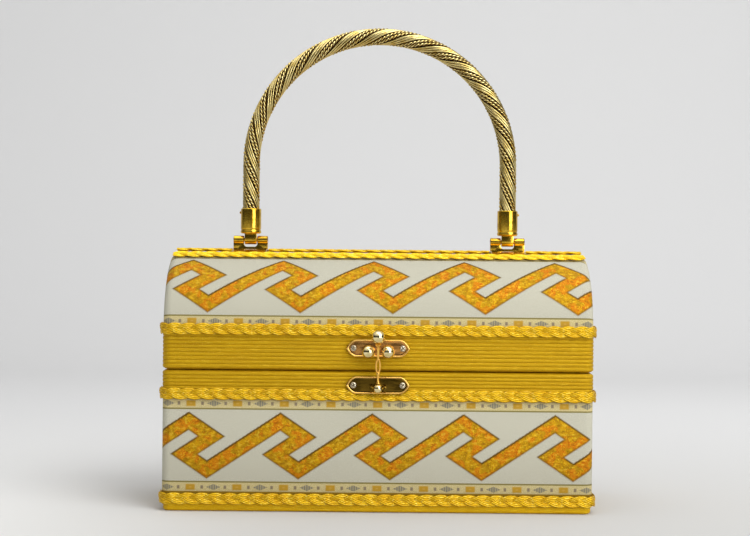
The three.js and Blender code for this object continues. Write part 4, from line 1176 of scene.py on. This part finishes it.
upper_plate = clasp_plate(UPPER_CLASP_Z)
lower_plate = joined(clasp_plate(LOWER_CLASP_Z), ear(-1), ear(1))
finished("clasp_plate_upper", upper_plate, "lid", UPPER_PLATE, ["clasp_upper_plate"], smooth=50)
finished("clasp_plate_lower", lower_plate, "body", LOWER_PLATE, ["clasp_lower_plate"], smooth=50)
for label, x in (("left", -BALL_X), ("right", BALL_X)):
    place = at(x, -HALF_DEPTH - PLATE_FACE + 0.2, BALL_Z) @ FACING_FRONT
    ball = shifted(ball_on_neck(BALL_RADIUS, neck=1.1, stand=0.4), place)
    finished(f"clasp_ball_{label}_polished", ball, "lid", PALE_GOLD, [f"clasp_ball_{label}"])

# The lever, drawn along Z from its pivot and leant back against the balls

leant = at(*LEVER_PIVOT) @ Matrix.Rotation(LEVER_LEAN, 4, "X")
foot_radius = 2.5
bore = math.degrees(math.asin(0.88 / foot_radius))
foot_side = arc(0.0, 0.0, foot_radius, bore - 90, 90 - bore, 16)
foot_ball = shifted(lathed([*foot_side, foot_side[0]]), leant @ ALONG_X)
finished("lever_foot", foot_ball, "lever", PALE_GOLD, ["lever_foot_ball"])

eye_low, eye_high = 8.2, 16.2
eye = []
for turn in [FULL_TURN * k / 32 for k in range(32)]:
    width = math.cos(turn) * (1 - 0.25 * abs(math.sin(turn)) ** 3)
    eye.append((width, 0.0, (eye_low + eye_high) / 2 + (eye_high - eye_low) / 2 * math.sin(turn)))
bead = [(0.0, -0.9), (0.7, -0.75), (1.0, -0.2), (1.0, 0.2), (0.7, 0.75), (0.0, 0.9)]
flare = [(0.0, 22.2), (0.62, 22.2), (0.75, 22.6), (1.35, 23.5), (1.7, 23.9), (1.7, 24.1), (0.0, 24.1)]
stem = joined(
    tube([(0, 0, 2.8), (0, 0, 3.4), (0, 0, 4.2), (0, 0, eye_low - 0.2)], [1.1, 0.8, 0.6, 0.6]),
    lathed([(radius, eye_low + height) for radius, height in bead], 24),
    tube(eye, [0.5] * len(eye), closed=True),
    tube([(0, 0, eye_high - 0.1), (0, 0, 22.4)], [0.62, 0.62]),
    lathed(flare, 24))
finished("lever_wire", shifted(stem, leant), "lever", LEVER_GOLD, ["lever_stem"])

top_ball = shifted(lathed(arc(0.0, 27.9, BALL_RADIUS, -90, 90, 24), 40), leant)
finished("lever_top", top_ball, "lever", PALE_GOLD, ["lever_top_ball"])
lever_axle = pin(*LEVER_PIVOT, radius=0.6, length=8.6, tip=0.5, bevel=0.2)
finished("lever_axle", lever_axle, "body", BRIGHT_GOLD, ["lever_pin"])


# Hinges and screws


def leaf(x, up):
    """A hinge leaf: its plate, and its knuckles with their necks. The lid's has the middle one."""
    radius = 1.2
    outline = []
    for side_x, side_y, start in ((1, 1, 0), (-1, 1, 90), (-1, -1, 180), (1, -1, 270)):
        outline += arc(side_x * (LEAF_WIDTH / 2 - radius), side_y * (LEAF_HEIGHT / 2 - radius), radius,
                       start, start + 90, 4)
    base = HALF_DEPTH + PLATE_BASE
    place = at(x, base + LEAF_THICK, HINGE_Z + up * LEAF_MIDDLE) @ FACING_FRONT
    parts = [shifted(prism(outline, LEAF_THICK, 0.12), place)]
    share = LEAF_WIDTH / 3
    length = share - (0.4 if up > 0 else 0.0)
    rows = [(0.98, 0.1), (1.1, 0.0), (1.35, 0.0), (1.5, 0.2)]
    neck = [(base, 2.7), (base + LEAF_THICK, 2.7), (HINGE_Y + 1.1, 0.9), (HINGE_Y - 1.42, 0.3)]
    for middle in ((x,) if up > 0 else (x - share, x + share)):
        ends = (middle - length / 2, middle + length / 2)
        parts.append(barrel(ends[0], HINGE_Y, HINGE_Z, length, rows, 28))
        parts.append(skin([[(end, y, HINGE_Z + up * z) for y, z in neck] for end in ends], caps="flat"))
    return joined(*parts)


for label, x in (("left", -HINGE_X), ("right", HINGE_X)):
    finished(f"hinge_leaf_body_{label}", leaf(x, -1), "body", BRIGHT_GOLD, [f"hinge_body_leaf_{label}"])
    finished(f"hinge_leaf_lid_{label}", leaf(x, 1), "lid", BRIGHT_GOLD, [f"hinge_lid_leaf_{label}"])
    axle = pin(x, HINGE_Y, HINGE_Z, radius=0.7, length=LEAF_WIDTH, tip=0.55, bevel=0.25)
    finished(f"hinge_axle_{label}", axle, "body", BRIGHT_GOLD, [f"hinge_pin_{label}"])


def screw_head():
    """A domed head with a cross recess on its shank, its seat at the origin and facing +Z."""
    shank, head, rows = 0.7, 1.7, 8
    arm_half, arm_reach, depth = 0.3, 1.15, 0.35
    turns = [FULL_TURN * k / 32 for k in range(32)]
    rings = [[(radius * math.cos(t), radius * math.sin(t), height) for t in turns]
             for radius, height in ((shank, -4.0), (shank, 0.0), (head, 0.0))]
    for lift in [math.pi / 2 * k / rows for k in range(rows + 1)]:
        radius = head * math.cos(lift * 0.97)
        ring = []
        for t in turns:
            x, y = radius * math.cos(t), radius * math.sin(t)
            cross = max(0.0, 1 - min(abs(x), abs(y)) / arm_half)
            sunk = cross * max(0.0, min(1.0, (arm_reach - radius) / 0.2)) * depth
            ring.append((x, y, 0.12 + 0.75 * math.sin(lift) - sunk))
        rings.append(ring)
    return skin(rings, caps="flat")


clasp_face = HALF_DEPTH + PLATE_FACE - 0.2
hinge_face = HALF_DEPTH + PLATE_BASE + LEAF_THICK + SEAT
head = bpy.data.objects.new("head pattern", screw_head())
bpy.context.collection.objects.link(head)
for body, clasp_z, row, turns, up in (
    ("body", LOWER_CLASP_Z, "lower", (0.4, 1.1), -1), ("lid", UPPER_CLASP_Z, "upper", (0.2, 0.7), 1)):
    screws = [
        ((x, -clasp_face, clasp_z), -1, turn, f"clasp_screw_{row}_{side}")
        for side, x, turn in zip(("left", "right"), (-CLASP_SCREW_X, CLASP_SCREW_X), turns)]
    for side, x in (("left", -HINGE_X), ("right", HINGE_X)):
        for k, shift in enumerate((-9.0, 9.0)):
            screws.append(((x + shift, hinge_face, HINGE_Z + up * LEAF_MIDDLE), 1, 0.3 + 0.5 * k + x * 0.01,
                           f"hinge_screw_{body}_{side}_{k + 1}"))
    spots, ways, turns, nodes = zip(*screws)
    slots = [(math.cos(turn), 0.0, math.sin(turn)) for turn in turns]
    path = path_mesh(spots, [(0.0, way, 0.0) for way in ways], slots)
    finished(f"screw_heads_{body}", SET.run(path, Piece=head, Material=NICKEL), body, NICKEL, nodes)
bpy.data.objects.remove(head)


# Nodes that keep their own shape

for label, material in (
    ("body_shell", WOOD), ("lid_shell", WOOD), ("body_lining", SATIN), ("rope_core", WIRE)):
    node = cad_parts[label]
    node.data.materials.clear()
    node.data.materials.append(material)


# Camera, light and paper; places here are in metres

camera = bpy.data.objects.new("camera", bpy.data.cameras.new("camera"))
bpy.context.collection.objects.link(camera)
camera.data.lens = 68.3
camera.data.sensor_width = 36.0
camera.data.clip_start = 0.01
camera_to_ribbon = 0.75
camera.location = (-0.0021, -(HALF_DEPTH + RIBBON_OUTER) * MM - camera_to_ribbon, 0.1291)
camera.rotation_euler = (math.pi / 2, math.radians(-0.55), 0.0)
bpy.context.scene.camera = camera


def lamp(name, size, power, place, target):
    light = bpy.data.objects.new(name, bpy.data.lights.new(name, "AREA"))
    bpy.context.collection.objects.link(light)
    light.data.shape = "SQUARE"
    light.data.size = size
    light.data.energy = power
    light.location = place
    light.rotation_euler = (Vector(place) - Vector(target)).to_track_quat("Z", "Y").to_euler()


lamp("key", size=1.1, power=13.8, place=(0.75, -0.85, 1.15), target=(0.0, 0.0, 0.1))
lamp("fill", size=0.7, power=7.0, place=(0.8, -1.1, 0.2), target=(0.0, 0.0, 0.08))
lamp("top", size=1.0, power=4.4, place=(0.0, -0.1, 1.3), target=(0.0, 0.0, 0.1))

# The paper lies under the bag, bends up behind it and stands as a wall
paper_bend = 0.5
rows = [(-2.0, 0.0), *arc(0.9, paper_bend, paper_bend, -90, 0, 12), (1.4, 2.5)]
sheet = bpy.data.meshes.new("paper")
faces = [(2 * k, 2 * k + 1, 2 * k + 3, 2 * k + 2) for k in range(len(rows) - 1)]
sheet.from_pydata([(x, y, z) for y, z in rows for x in (-3.0, 3.0)], [], faces)
for face in sheet.polygons:
    face.use_smooth = True
sheet.materials.append(plain_backdrop())
backdrop = bpy.data.objects.new("paper", sheet)
bpy.context.collection.objects.link(backdrop)

world = bpy.data.worlds.new("room")
bpy.context.scene.world = world
world.use_nodes = True
room = Bench(world.node_tree)
shine = room.node("ShaderNodeLightPath", out="Is Glossy Ray")
_, _, height = room.split(room.node("ShaderNodeTexCoord", out="Generated"))
# What shines sees a dim room behind the camera and a pale ceiling
seen = 0.05 + 0.85 * height.step(0.25, 0.8)
background = world.node_tree.nodes["Background"]
room.join(background.inputs["Color"], (1.0, 1.0, 1.0, 1.0))
room.join(background.inputs["Strength"], 0.55 * (1 - shine) + seen * shine)

bpy.context.scene.view_settings.view_transform = "Standard"
